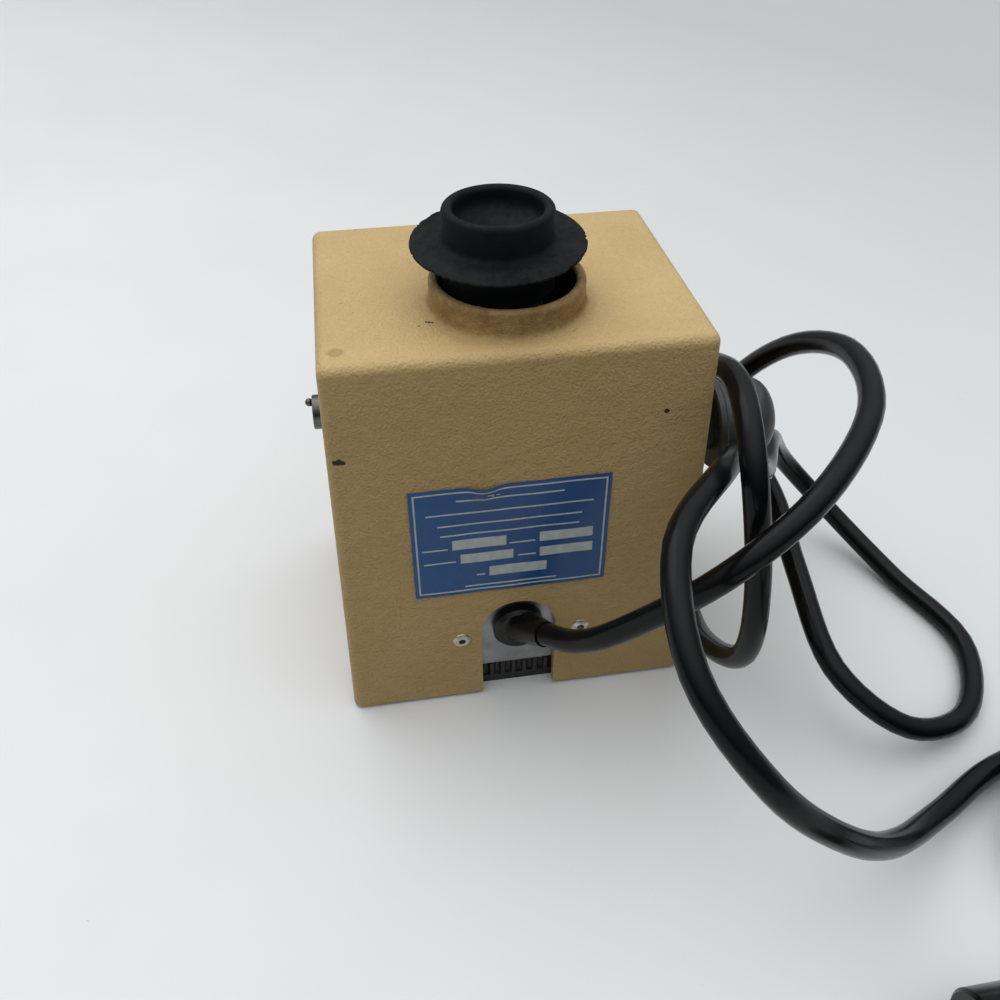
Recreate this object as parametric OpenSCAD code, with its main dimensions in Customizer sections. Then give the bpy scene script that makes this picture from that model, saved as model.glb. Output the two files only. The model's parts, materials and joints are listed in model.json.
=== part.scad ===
// Vortex mixer: a drafted cast case on a rubber pad, with a shaded-pole motor inside that
// carries an orbiting rubber cup. Pressing the cup closes a micro switch under the shaft.
// The origin lies on the table under the middle of the case; the operator stands at -Y and
// the cord leaves at +Y.

/* [Case] */
// Width of the case at its lower edge
case_w = 122; // [118:1:132]
// Depth of the case at its lower edge
case_d = 97; // [95:1:106]
// Height of the case without its collar
case_h = 140.5; // [139:0.5:150]
// Lean of each wall, for release from the mould
case_draft = 1.54; // [0.6:0.02:1.9]
// Rounding of the case's outer edges
case_edge_r = 6; // [4.5:0.5:8]
// Thickness of the case's walls
wall = 3; // [2.4:0.1:3.4]
// Gap between the case's lower edge and the table
case_lift = 1.5; // [0.8:0.1:2.5]

/* [Collar] */
// Distance of the drive shaft from the middle of the case, towards the back
shaft_y = 14.4; // [12:0.2:15.4]
// Outer radius of the collar
collar_r = 23.3; // [22.6:0.1:24.5]
// Height of the collar above the case
collar_h = 8.7; // [6:0.1:10]
// Radius of the collar's opening
collar_bore_r = 20.3; // [20:0.1:21.2]
// Radius of the fillet at the collar's foot
collar_fillet = 2.6; // [1.5:0.1:4]

/* [Cord slot] */
// Width of the slot in the back wall
slot_w = 26; // [22:0.5:30]
// Height of the slot's arch above the case's lower edge
slot_top = 44.3; // [40:0.1:47]
// Place of the slot's middle across the back wall
slot_x = 1; // [-3:0.5:3]

/* [Chassis] */
// Thickness of the rubber pad
pad_t = 10.5; // [9.5:0.1:11.5]
// Gap between the pad and the walls
pad_gap = 1.6; // [1:0.1:3]
// Pitch of the scallops along the pad's edge
pad_pitch = 4; // [3:0.5:6]
// Radius of each scallop
pad_scallop_r = 1.3; // [0.8:0.1:1.4]
// Thickness of the chassis sheet
sheet = 1.6; // [1.2:0.1:2]
// Width of the chassis flanges
flange_w = 64; // [56:1:70]
// Height of the chassis flanges above the case's lower edge
flange_top = 52; // [49:1:56]
// Distance of each rivet from the middle of the wall
rivet_x = 21; // [19:0.5:24]
// Height of the rivets above the case's lower edge
rivet_z = 28.4; // [24:0.1:34]
// Radius of a rivet's head
rivet_r = 3.2; // [2.6:0.1:3.6]

/* [Rating plate] */
// Width of the rating plate
plate_w = 63.5; // [50:0.5:70]
// Height of the rating plate
plate_h = 44.5; // [36:0.5:48]
// Place of the plate's middle across the back wall
plate_x = 3.9; // [-4:0.1:6]
// Height of the plate's middle above the case's lower edge
plate_z = 73.7; // [71:0.1:78]

/* [Cup] */
// Outer radius of the cup's rim
rim_r = 16.2; // [15.6:0.1:17]
// Radius of the cup's opening
mouth_r = 12.7; // [11:0.1:13.2]
// Depth of the cup's hollow
cup_depth = 10.5; // [7:0.1:11]
// Height of the rim above the top of the case
rim_h = 28.3; // [27.5:0.1:32]
// Radius of the cup's flange
flange_r = 25.7; // [22:0.1:28]
// Height of the flange's upper face above the top of the case
flange_h = 17.6; // [16.6:0.1:18.5]
// Thickness of the flange
flange_t = 2; // [1.4:0.1:2.6]
// Radius of the neck under the flange
neck_r = 16.8; // [16.2:0.1:17]

/* [Drive] */
// Throw of the crank pin, half the cup's orbit
throw = 3; // [1.5:0.1:3.2]
// Direction of the crank pin from the shaft at rest
crank_angle = -40; // [-90:5:0]
// Radius of the motor shaft
shaft_r = 4; // [3.5:0.1:4.4]
// Running clearance of shafts in their bearings, on the radius
run_gap = 0.04; // [0.02:0.01:0.08]
// Travel of the cup when it is pressed
press_travel = 1.5; // [0.8:0.1:1.7]
// Radius of the counterweight
weight_r = 24; // [20:0.5:27]
// Thickness of the counterweight
weight_t = 8; // [5:0.5:9]

/* [Motor] */
// Thickness of the lamination stack
stack_t = 25; // [20:0.5:26]
// Width of the lamination stack
stack_w = 58; // [54:0.5:60]
// Radius of the rotor
rotor_r = 16.1; // [14:0.1:17]
// Air gap between rotor and stator
air_gap = 0.4; // [0.3:0.05:0.7]
// Thickness of the winding around its bar
winding_t = 7; // [5:0.5:7.5]
// Length of the posts that carry the motor
post_h = 32; // [30:0.5:34]

/* [Controls] */
// Radius of the speed knob
knob_r = 13.8; // [12:0.1:13.9]
// Length of the knob with its skirt
knob_len = 22; // [20:0.5:22]
// Radius of the knob's skirt
knob_skirt_r = 15.8; // [14.4:0.1:15.9]
// Distance of the skirt from the wall
knob_off = 9; // [8.5:0.1:9.5]
// Place of the knob along the side wall
knob_y = 18; // [17.8:0.1:18.4]
// Height of the knob above the case's lower edge
knob_z = 90.3; // [90:0.1:90.6]
// Place of the toggle switch along the side wall
toggle_y = -7; // [-12:0.5:0]
// Height of the toggle switch above the case's lower edge
toggle_z = 91.8; // [86:0.1:98]
// Radius of the toggle switch's bushing
bushing_r = 5.95; // [5.7:0.05:6.3]
// Tilt of the toggle lever at its upper position
lever_tilt = 21; // [15:1:23]

/* [Cord] */
// Radius of the mains cord
cord_r = 3.95; // [3.2:0.05:4.05]
// Radius of the coil of spare cord, to the middle of its turns
coil_r = 44; // [40:1:47]
// Length of the tapered neck of the strain relief
nose_len = 17; // [15:0.5:17]

/* [Hidden] */

eps = 0.02;            // hair between faces that touch
fit = 0.05;            // radial play of a screw or plug in its hole
cut = 1;               // overrun of a cutting tool
seat = 0.1;            // gap between a sheet and the wall it is riveted to
dir_rear = 1;
dir_front = -1;

// Stations along the drive shaft, from the table up
case_top = case_lift + case_h;
chassis_top = pad_t + sheet;
guide_base_t = 2;
plate_gap_z = 3;                                   // rubber of a grommet under the motor plate
plate_t = 2;
motor_plate_z = chassis_top + post_h + plate_gap_z;
bracket_z = motor_plate_z + plate_t;
stack_z = bracket_z + 18;
stack_top = stack_z + stack_t;
ring_t = 4;                                        // end rings of the rotor cage
bearing_len = 12;
bearing_r = 7;
hub_r = 11;                                        // bearing hubs of the two brackets
lower_hub_z = motor_plate_z;
upper_hub_z = stack_top + ring_t + 2;
upper_hub_top = upper_hub_z + bearing_len + 1;
nut_z = upper_hub_z + 5.5;
weight_z = upper_hub_top + press_travel + 1.5;
weight_hub_h = weight_t + 3;
crank_z = weight_z + weight_hub_h;
head_bearing_w = 7;
head_bearing_r = 11;
head_bearing_z = crank_z + 5;
shaft_bottom = lower_hub_z - 7;
ball_r = 3;
plunger_z = shaft_bottom - 10;
stem_r = 3;

// Where the crank pin stands at rest
pin_x = throw * cos(crank_angle);
pin_y = shaft_y + throw * sin(crank_angle);

// Lamination outline: the rotor end lies at the back, the coil across the front
stack_back = shaft_y + 27.6;
limb_w = 12;
bar_d = 14;
stack_front = shaft_y - 48.4;
window_back = shaft_y - 25.4;
bolt_x = stack_w / 2 - 5;
bolt_ys = [stack_back - 5, window_back + 3];
bolt_r = 2;
post_x = 40;
post_ys = [-30, 33];
screw_r = 3;

// Cup
rim_z = case_top + rim_h;
cup_flange_z = case_top + flange_h;
neck_bottom = case_top + 4.5;
hub_top = cup_flange_z - 3;
head_hub_r = 13.4;

// Micro switch beside the thrust plunger
lever_pivot = [33, plunger_z - 2.7];
lever_tip = [8, plunger_z - 0.75];
lever_t = 0.5;
switch_x = [14, 33.8];
switch_top = plunger_z - 3.5;
switch_h = 10.2;
switch_w = 6.4;
button_x = 24;
switch_hole_xs = [19.2, 28.7];

function half_w(z) = case_w / 2 - (z - case_lift) * tan(case_draft);
function half_d(z) = case_d / 2 - (z - case_lift) * tan(case_draft);
function arc(cx, cy, r, a, b, n) = [for (i = [0 : n]) let (t = a + (b - a) * i / n)
    [cx + r * cos(t), cy + r * sin(t)]];

// Frames on the leaning walls: local Y (or X) points out, local Z runs up the wall
module on_back_wall(side = dir_rear) {
    mirror([0, side == dir_rear ? 0 : 1, 0])
        translate([0, case_d / 2, case_lift]) rotate([case_draft, 0, 0]) children();
}
module on_right_wall() {
    translate([case_w / 2, 0, case_lift]) rotate([0, -case_draft, 0]) children();
}
module on_left_wall() { mirror([1, 0, 0]) on_right_wall() children(); }
module along_y() { rotate([-90, 0, 0]) children(); }
module along_x() { rotate([0, 90, 0]) children(); }
module at_shaft(z = 0) { translate([0, shaft_y, z]) children(); }
module at_pin(z = 0) { translate([pin_x, pin_y, z]) children(); }
module at_bolts(z = 0) {
    for (x = [-bolt_x, bolt_x], y = bolt_ys) translate([x, y, z]) children();
}
module at_posts(z = 0) {
    for (x = [-post_x, post_x], y = post_ys) translate([x, y, z]) children();
}
module tube(r_out, r_in, h, n = 64) {
    difference() {
        cylinder(r = r_out, h = h, $fn = n);
        translate([0, 0, -cut]) cylinder(r = r_in, h = h + 2 * cut, $fn = n);
    }
}
module hexagon(flats, h) { cylinder(r = flats / 2 / cos(30), h = h, $fn = 6); }
module slab(w, d, h, r) {
    linear_extrude(h) union() {
        square([w - 2 * r, d], center = true);
        square([w, d - 2 * r], center = true);
        for (x = [-1, 1], y = [-1, 1])
            translate([x * (w / 2 - r), y * (d / 2 - r)]) circle(r = r, $fn = 32);
    }
}

// ---- case ----
module case_form(inset, bottom, top, r) {
    hull() for (x = [-1, 1], y = [-1, 1]) {
        translate([x * (half_w(bottom) - inset - r), y * (half_d(bottom) - inset - r), bottom])
            cylinder(r = r, h = 0.01, $fn = 32);
        translate([x * (half_w(top - r) - inset - r), y * (half_d(top - r) - inset - r), top - r])
            rotate_extrude($fn = 32) polygon(concat([[0, 0]], arc(0, 0, r, 0, 90, 6)));
    }
}
module collar_form() {
    lip = 1.4;
    rotate_extrude($fn = 96) polygon(concat(
        [[collar_bore_r, -wall]],
        arc(collar_bore_r + lip, collar_h - lip, lip, 180, 90, 5),
        arc(collar_r - lip, collar_h - lip, lip, 90, 0, 5),
        arc(collar_r + collar_fillet, collar_fillet, collar_fillet, 180, 270, 6),
        [[collar_r + collar_fillet, -wall]]));
}
module slot_cutter() {
    arch_z = slot_top - slot_w / 2;
    translate([slot_x, -2 * wall, 0]) {
        translate([-slot_w / 2, 0, -2 * wall]) cube([slot_w, 4 * wall, arch_z + 2 * wall]);
        translate([0, 0, arch_z]) along_y() cylinder(r = slot_w / 2, h = 4 * wall, $fn = 64);
    }
}
module rivet_places() {
    for (x = [-rivet_x, rivet_x]) translate([x, 0, rivet_z]) children();
}
module housing() {
    color("#d8b983") difference() {
        union() {
            case_form(0, case_lift, case_top, case_edge_r);
            at_shaft(case_top) collar_form();
        }
        case_form(wall, case_lift - cut, case_top - wall, case_edge_r - wall + 1);
        at_shaft(case_top - 2 * wall) cylinder(r = collar_bore_r, h = 2 * wall + eps, $fn = 96);
        on_back_wall() slot_cutter();
        for (side = [dir_rear, dir_front]) on_back_wall(side) rivet_places()
            translate([0, -2 * wall, 0]) along_y()
                cylinder(r = 1.6 + fit, h = 4 * wall, $fn = 32);
        on_left_wall() translate([-2 * wall, knob_y, knob_z]) along_x()
            cylinder(r = control_thread_r + fit, h = 4 * wall, $fn = 48);
        on_right_wall() translate([-2 * wall, toggle_y, toggle_z]) along_x()
            cylinder(r = bushing_r + fit, h = 4 * wall, $fn = 48);
    }
}
module rating_plate() {
    color("#2f56a8") on_back_wall() translate([plate_x, eps, plate_z]) rotate([-90, 0, 0])
        slab(plate_w, plate_h, 0.3, 1.2);
}

// ---- chassis ----
bend_r = 3;                // outer radius of the bends
// A point on the back wall's frame, as [y, z]
function wall_point(out, up) = [
    case_d / 2 + out * cos(case_draft) - up * sin(case_draft),
    case_lift + out * sin(case_draft) + up * cos(case_draft)];
module channel() {
    bend_z = pad_t + bend_r;
    bend_y = case_d / 2 - (wall + seat + bend_r) / cos(case_draft)
        - (bend_z - case_lift) * tan(case_draft);
    half = concat(
        arc(bend_y, bend_z, bend_r, -90, case_draft, 6),
        [wall_point(-wall - seat, flange_top), wall_point(-wall - seat - sheet, flange_top)],
        arc(bend_y, bend_z, bend_r - sheet, case_draft, -90, 6));
    other = [for (i = [len(half) - 1 : -1 : 0]) [-half[i].x, half[i].y]];
    translate([-flange_w / 2, 0, 0]) rotate([90, 0, 90]) linear_extrude(flange_w)
        polygon(concat(half, other));
}
relief_z = slot_top - slot_w / 2;
relief_r = 9;
relief_neck_r = 7.4;
module chassis() {
    floor_y = half_d(pad_t) - wall - bend_r - 2;
    floor_x = half_w(pad_t) - wall - pad_gap;
    color("#9a9c9b") difference() {
        union() {
            channel();
            for (sx = [-1, 1]) translate([sx * (floor_x + flange_w / 2) / 2, 0, pad_t + sheet / 2])
                cube([floor_x - flange_w / 2 + cut, 2 * floor_y, sheet], center = true);
        }
        for (side = [dir_rear, dir_front]) on_back_wall(side) rivet_places()
            translate([0, -3 * wall, 0]) along_y()
                cylinder(r = 1.6 + fit, h = 3 * wall, $fn = 32);
        on_back_wall() translate([slot_x, -3 * wall, relief_z]) along_y()
            cylinder(r = relief_neck_r + fit, h = 3 * wall, $fn = 64);
        at_posts(pad_t - cut) cylinder(r = screw_r + fit, h = sheet + 2 * cut, $fn = 32);
        at_shaft(pad_t - cut) cylinder(r = stem_r + 0.5, h = sheet + 2 * cut, $fn = 48);
    }
}
module base_pad() {
    half_x = half_w(0) - wall - pad_gap;
    half_y = half_d(0) - wall - pad_gap;
    waist = 3.5;
    count_x = floor(half_x / pad_pitch) - 1;
    count_y = floor(half_y / pad_pitch) - 1;
    color("#17181a") difference() {
        union() {
            translate([0, 0, waist]) slab(2 * half_x, 2 * half_y, pad_t - waist, 3);
            slab(2 * half_x - 1.2, 2 * half_y - 1.2, waist, 3);
        }
        for (i = [-count_x : count_x], y = [-half_y, half_y])
            translate([i * pad_pitch, y, waist])
                cylinder(r = pad_scallop_r, h = pad_t, $fn = 16);
        for (i = [-count_y : count_y], x = [-half_x, half_x])
            translate([x, i * pad_pitch, waist])
                cylinder(r = pad_scallop_r, h = pad_t, $fn = 16);
        at_shaft(pad_t - 4) cylinder(r = stem_r + 2, h = 5, $fn = 32);
        at_posts(pad_t - 4.5) cylinder(r = screw_r + 4, h = 5, $fn = 32);
    }
}
module case_rivets() {
    grip = wall + seat + sheet;
    color("#c9c6be") for (side = [dir_rear, dir_front]) on_back_wall(side) rivet_places()
        along_y() rotate_extrude($fn = 32) polygon(concat(
            [[1.15, 0.9], [1.15, -grip - 3.2], [2.3, -grip - 2.6], [2.5, -grip - eps],
             [1.6, -grip - eps], [1.6, eps], [rivet_r, eps]],
            arc(rivet_r - 0.7, eps + 0.25, 0.7, 10, 90, 4)));
}
// The case that the cord's route was laid round
route_w = 122;
route_d = 97;
route_draft = 1.54;
route_lift = 1.5;
function share(a) = max(0, min(1, a));
function route_lean(z) = (z - route_lift) * tan(route_draft);
// A point of the route, moved along with the walls that it passes
function laid(p) = [
    p.x - (half_w(p.z) - route_w / 2 + route_lean(p.z)) * share(-p.x / 50),
    p.y + (half_d(p.z) - route_d / 2 + route_lean(p.z)) * share((p.y - 20) / 40),
    p.z];
nose_base = concat([slot_x], wall_point(0.9 - wall, relief_z));
nose_way = unit(laid([-7, 61, 42]) - nose_base);
nose_tip = nose_base + nose_len * nose_way;
module strain_relief() {
    neck_r = 6.4;
    color("#141414") union() {
        on_back_wall() translate([slot_x, -wall - seat, relief_z]) along_y()
            rotate_extrude($fn = 64) polygon([
                [0, -sheet - 5], [relief_neck_r - 0.8, -sheet - 5], [relief_neck_r + 1, -sheet - 1.2],
                [relief_neck_r + 1, -sheet - eps], [relief_neck_r, -sheet - eps],
                [relief_neck_r, eps], [relief_r, eps], [relief_r, 3.4], [relief_r - 1.2, 4.6],
                [0, 4.6]]);
        translate(nose_base) rotate([0, acos(nose_way.z), atan2(nose_way.y, nose_way.x)]) {
            cylinder(r1 = neck_r, r2 = cord_r + 0.5, h = nose_len, $fn = 48);
            sphere(r = neck_r, $fn = 48);
        }
    }
}

// ---- motor mounting ----
module motor_posts() {
    color("#b9bcbd") at_posts(chassis_top) difference() {
        hexagon(12, post_h);
        translate([0, 0, -cut]) cylinder(r = screw_r + fit, h = post_h + 2 * cut, $fn = 32);
    }
}
grommet_r = 8;
grommet_h = plate_t + 2 * plate_gap_z;
module grommets() {
    waist_r = 5.5;
    color("#1b1b1c") at_posts(chassis_top + post_h + eps) difference() {
        union() {
            cylinder(r = grommet_r, h = plate_gap_z - 2 * eps, $fn = 32);
            cylinder(r = waist_r, h = grommet_h, $fn = 32);
            translate([0, 0, plate_gap_z + plate_t])
                cylinder(r = grommet_r, h = plate_gap_z - 2 * eps, $fn = 32);
        }
        translate([0, 0, -cut]) cylinder(r = screw_r + 2 * fit, h = grommet_h + 2 * cut, $fn = 32);
    }
}
module pan_screw(len, head_r, head_h) {
    translate([0, 0, -len]) cylinder(r = screw_r, h = len, $fn = 32);
    difference() {
        rotate_extrude($fn = 32) polygon(concat([[0, 0], [head_r, 0]],
            arc(head_r - 1, head_h - 1, 1, 0, 90, 3), [[0, head_h]]));
        translate([-head_r, -0.6, head_h - 1.2]) cube([2 * head_r, 1.2, 2]);
    }
}
module post_screws() {
    grip = grommet_h + 3 * eps;
    color("#8f9192") {
        at_posts(chassis_top + post_h + grip) pan_screw(grip + 12, 5.6, 3.2);
        at_posts(pad_t - eps) mirror([0, 0, 1]) pan_screw(sheet + 12, 5.6, 3.2);
    }
}
module motor_plate() {
    mid_y = (post_ys[0] + post_ys[1]) / 2;
    rim = 8.5;
    color("#a5a7a6") translate([0, mid_y, motor_plate_z]) difference() {
        slab(2 * (post_x + rim), post_ys[1] - post_ys[0] + 2 * rim, plate_t, 5);
        translate([0, -mid_y, -motor_plate_z]) {
            at_posts(motor_plate_z - cut) cylinder(r = 5.5 + fit, h = plate_t + 2 * cut, $fn = 32);
            at_bolts(motor_plate_z - cut)
                cylinder(r = bolt_r + fit, h = plate_t + 2 * cut, $fn = 24);
            at_shaft(motor_plate_z - cut)
                cylinder(r = hub_r + 1, h = plate_t + 2 * cut, $fn = 64);
        }
    }
}

// ---- motor ----
module bearing_bracket(hub_z, hub_h, web_z, web_t, foot_z, foot_h) {
    difference() {
        union() {
            at_shaft(hub_z) cylinder(r = hub_r, h = hub_h, $fn = 64);
            at_bolts(foot_z) cylinder(r = 5, h = foot_h, $fn = 32);
            for (sx = [-1, 1], y = bolt_ys) {
                reach = norm([bolt_x, y - shaft_y]);
                at_shaft(web_z) rotate([0, 0, atan2(y - shaft_y, sx * bolt_x)])
                    translate([hub_r - 3, -4, 0]) cube([reach - hub_r + 3, 8, web_t]);
            }
        }
        at_shaft(hub_z - cut) cylinder(r = bearing_r + fit, h = hub_h + 2 * cut, $fn = 64);
        at_bolts(foot_z - cut) cylinder(r = bolt_r + fit, h = foot_h + 2 * cut, $fn = 24);
    }
}
module lower_bracket() {
    color("#8d9093") bearing_bracket(lower_hub_z, bearing_len, bracket_z, 5,
        bracket_z, stack_z - bracket_z);
}
module upper_bracket() {
    color("#8d9093") bearing_bracket(upper_hub_z, upper_hub_top - upper_hub_z,
        upper_hub_z + 0.5, 4, stack_top, nut_z - stack_top);
}
module sleeve_bearing(z) { at_shaft(z) tube(bearing_r, shaft_r + run_gap, bearing_len); }
module lower_bearing() { color("#b58a4a") sleeve_bearing(lower_hub_z); }
module upper_bearing() { color("#b58a4a") sleeve_bearing(upper_hub_z + 0.5); }
module stator_core() {
    bore_r = rotor_r + air_gap;
    shade_x = bore_r + 1.6;
    color("#6f7174") difference() {
        translate([-stack_w / 2, stack_front, stack_z])
            cube([stack_w, stack_back - stack_front, stack_t]);
        translate([-stack_w / 2 + limb_w, stack_front - cut, stack_z - cut])
            cube([stack_w - 2 * limb_w, window_back - stack_front + cut, stack_t + 2 * cut]);
        at_shaft(stack_z - cut) cylinder(r = bore_r, h = stack_t + 2 * cut, $fn = 96);
        at_bolts(stack_z - cut) cylinder(r = bolt_r + fit, h = stack_t + 2 * cut, $fn = 24);
        for (s = [-1, 1]) at_shaft(stack_z - cut) translate([s * shade_x, s * 9, 0])
            translate([-4, -1.2, 0]) cube([8, 2.4, stack_t + 2 * cut]);
    }
}
module coil_bar() {
    half = stack_w / 2 - limb_w - eps;
    color("#6f7174") translate([-half, stack_front, stack_z]) cube([2 * half, bar_d, stack_t]);
}
bobbin_t = 1.2;
bobbin_half = stack_w / 2 - limb_w - 1.5;
module coil_sleeve(x_half, out) {
    translate([-x_half, stack_front - out, stack_z - out])
        cube([2 * x_half, bar_d + 2 * out, stack_t + 2 * out]);
}
module coil_bobbin() {
    color("#d9d2bd") difference() {
        union() {
            coil_sleeve(bobbin_half, bobbin_t);
            for (s = [-1, 1]) translate([s * (bobbin_half - bobbin_t / 2), 0, 0])
                coil_sleeve(bobbin_t / 2, winding_t);
        }
        coil_sleeve(stack_w, eps);
    }
}
module coil_winding() {
    half = bobbin_half - bobbin_t - eps;
    out = winding_t - 0.4;
    r = 3;
    color("#a5652a") difference() {
        translate([-half, stack_front + bar_d / 2, stack_z + stack_t / 2]) along_x()
            slab(stack_t + 2 * out, bar_d + 2 * out, 2 * half, r);
        coil_sleeve(stack_w, bobbin_t + eps);
    }
}
module shading_rings() {
    ring_x = rotor_r + air_gap + 1.6;
    color("#b8713a") for (s = [-1, 1]) at_shaft(stack_z) translate([s * (ring_x + 1), s * 9, 0])
        difference() {
            translate([-2.6, -1, -2]) cube([5.2, 2, stack_t + 4]);
            translate([-1.4, -2, -0.8]) cube([2.8, 4, stack_t + 1.6]);
        }
}
module motor_bolts() {
    color("#8f9192") at_bolts(motor_plate_z - eps) {
        translate([0, 0, -2.8]) hexagon(7, 2.8);
        cylinder(r = bolt_r, h = nut_z + 4.5 - motor_plate_z, $fn = 24);
    }
}
module motor_nuts() {
    color("#8f9192") at_bolts(nut_z + eps) difference() {
        hexagon(7, 3);
        translate([0, 0, -cut]) cylinder(r = bolt_r + fit, h = 5, $fn = 24);
    }
}

// ---- press action ----
guide_top = plunger_z - press_travel - 0.5;
module thrust_guide() {
    color("#b8944f") at_shaft(chassis_top) difference() {
        union() {
            cylinder(r = 8.4, h = guide_base_t, $fn = 48);
            cylinder(r = 5, h = guide_top - chassis_top, $fn = 48);
        }
        translate([0, 0, -cut]) cylinder(r = stem_r + run_gap, h = 60, $fn = 48);
    }
}
spring_r = 6.3;
spring_wire = 0.6;
module return_spring() {
    low = chassis_top + guide_base_t + 0.05 + spring_wire;
    high = plunger_z - 0.05 - spring_wire;
    turns = 5;
    steps = 16;
    path = [for (i = [0 : turns * steps]) let (a = 360 * i / steps)
        [spring_r * cos(a), spring_r * sin(a), low + (high - low) * i / (turns * steps)]];
    color("#c2c4c6") at_shaft() swept_tube(path, spring_wire, 6);
}
module thrust_plunger() {
    color("#c3a35c") at_shaft() difference() {
        union() {
            translate([0, 0, plunger_z]) cylinder(r = 9.5, h = 2, $fn = 48);
            translate([0, 0, plunger_z]) cylinder(r = 6, h = 7, $fn = 48);
            translate([0, 0, plunger_z - 7]) cylinder(r = stem_r, h = 8, $fn = 48);
        }
        translate([0, 0, plunger_z + 10 - 2 * ball_r]) cylinder(r = ball_r + run_gap, h = 8, $fn = 48);
    }
}
module thrust_ball() {
    color("#d5d7d9") at_shaft(shaft_bottom - ball_r) sphere(r = ball_r - eps, $fn = 32);
}
module switch_body() {
    color("#2b2b2d") difference() {
        translate([switch_x[0], shaft_y - switch_w / 2, switch_top - switch_h])
            cube([switch_x[1] - switch_x[0], switch_w, switch_h]);
        for (x = switch_hole_xs) translate([x, shaft_y - switch_w, switch_top - 7]) along_y()
            cylinder(r = 1.15, h = 2 * switch_w, $fn = 24);
        translate([button_x, shaft_y, switch_top - 3]) cylinder(r = 1.1, h = 5, $fn = 24);
    }
}
module switch_bracket() {
    side_y = shaft_y + switch_w / 2 + eps;
    width = switch_x[1] - switch_x[0];
    color("#a5a7a6") difference() {
        union() {
            translate([switch_x[0], side_y, chassis_top]) cube([width, 1.2, switch_top - chassis_top]);
            translate([switch_x[0], side_y, chassis_top]) cube([width, 12, 1.2]);
        }
        for (x = switch_hole_xs) translate([x, side_y - cut, switch_top - 7]) along_y()
            cylinder(r = 1.15, h = 4, $fn = 24);
    }
}
module switch_screws() {
    color("#8f9192") for (x = switch_hole_xs)
        translate([x, shaft_y - switch_w / 2 - eps, switch_top - 7]) along_y() {
            cylinder(r = 1.1, h = switch_w + 3.5, $fn = 24);
            translate([0, 0, -1.4]) cylinder(r = 2.1, h = 1.4, $fn = 24);
        }
}
module switch_lever() {
    run = lever_tip[0] - lever_pivot[0];
    rise = lever_tip[1] - lever_pivot[1];
    color("#c2c4c6") translate([lever_pivot[0], shaft_y - 2, lever_pivot[1]])
        rotate([0, atan2(rise, -run), 0])
            translate([run, 0, -lever_t / 2]) cube([-run, 4, lever_t]);
}
module switch_button() {
    under = lever_pivot[1] + (lever_tip[1] - lever_pivot[1]) * (lever_pivot[0] - button_x)
        / (lever_pivot[0] - lever_tip[0]) - lever_t / 2 - 0.3;
    color("#b23a2e") translate([button_x, shaft_y, switch_top - 2])
        cylinder(r = 1.05, h = under - switch_top + 2, $fn = 24);
}

// ---- rotor and crank ----
module motor_shaft() {
    color("#c6c9cc") at_shaft(shaft_bottom)
        cylinder(r = shaft_r, h = weight_z + weight_hub_h - 2 - shaft_bottom, $fn = 64);
}
module rotor_core() {
    color("#8b8d90") at_shaft(stack_z - ring_t) difference() {
        union() {
            translate([0, 0, ring_t]) cylinder(r = rotor_r, h = stack_t, $fn = 96);
            cylinder(r = rotor_r - 1.2, h = stack_t + 2 * ring_t, $fn = 96);
        }
        translate([0, 0, -cut]) cylinder(r = shaft_r + eps, h = stack_t + 4 * ring_t, $fn = 64);
        for (z = [-cut, stack_t + ring_t + 1]) translate([0, 0, z])
            cylinder(r = rotor_r - 6, h = ring_t - 1 + cut, $fn = 64);
    }
}
module shaft_collar() {
    color("#9fa2a5") at_shaft(lower_hub_z - 0.3 - 3) tube(7, shaft_r + eps, 3, 48);
}
module counterweight() {
    color("#7d8083") difference() {
        union() {
            at_shaft(weight_z) cylinder(r = 12, h = weight_hub_h, $fn = 64);
            at_shaft(weight_z) intersection() {
                cylinder(r = weight_r, h = weight_t, $fn = 96);
                rotate([0, 0, crank_angle + 180])
                    translate([0, -weight_r, -cut]) cube([weight_r, 2 * weight_r, 2 * weight_t]);
            }
        }
        at_shaft(weight_z - cut) cylinder(r = shaft_r + eps, h = weight_hub_h - 1, $fn = 64);
        at_shaft(weight_z + 5.5) rotate([0, 90, crank_angle]) cylinder(r = 2 + fit, h = 20, $fn = 24);
        at_pin(crank_z - 1.9) cylinder(r = 4 + fit, h = 5, $fn = 64);
    }
}
module weight_set_screw() {
    color("#4a4c4e") at_shaft(weight_z + 5.5) rotate([0, 90, crank_angle])
        translate([0, 0, shaft_r + fit]) difference() {
            cylinder(r = 2, h = 7, $fn = 24);
            translate([0, 0, 5]) hexagon(2, 3);
        }
}
module crank_pin() {
    color("#c6c9cc") at_pin() difference() {
        union() {
            translate([0, 0, crank_z - 1.9]) cylinder(r = 4, h = head_bearing_z + head_bearing_w - crank_z + 1.9, $fn = 64);
            translate([0, 0, crank_z + eps]) cylinder(r = 6, h = head_bearing_z - crank_z - 2 * eps, $fn = 64);
        }
        translate([0, 0, head_bearing_z - 3]) cylinder(r = 2 + fit, h = 20, $fn = 32);
    }
}
module bearing_inner() {
    color("#b4b7ba") at_pin(head_bearing_z) difference() {
        tube(6.2, 4 + eps, head_bearing_w);
        translate([0, 0, head_bearing_w / 2]) rotate_extrude($fn = 64)
            translate([7.55, 0]) circle(r = 2.1, $fn = 32);
    }
}
module bearing_outer() {
    color("#b4b7ba") at_pin(head_bearing_z) difference() {
        tube(head_bearing_r, 8.9, head_bearing_w);
        translate([0, 0, head_bearing_w / 2]) rotate_extrude($fn = 64)
            translate([7.55, 0]) circle(r = 2.1, $fn = 32);
    }
}
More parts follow.
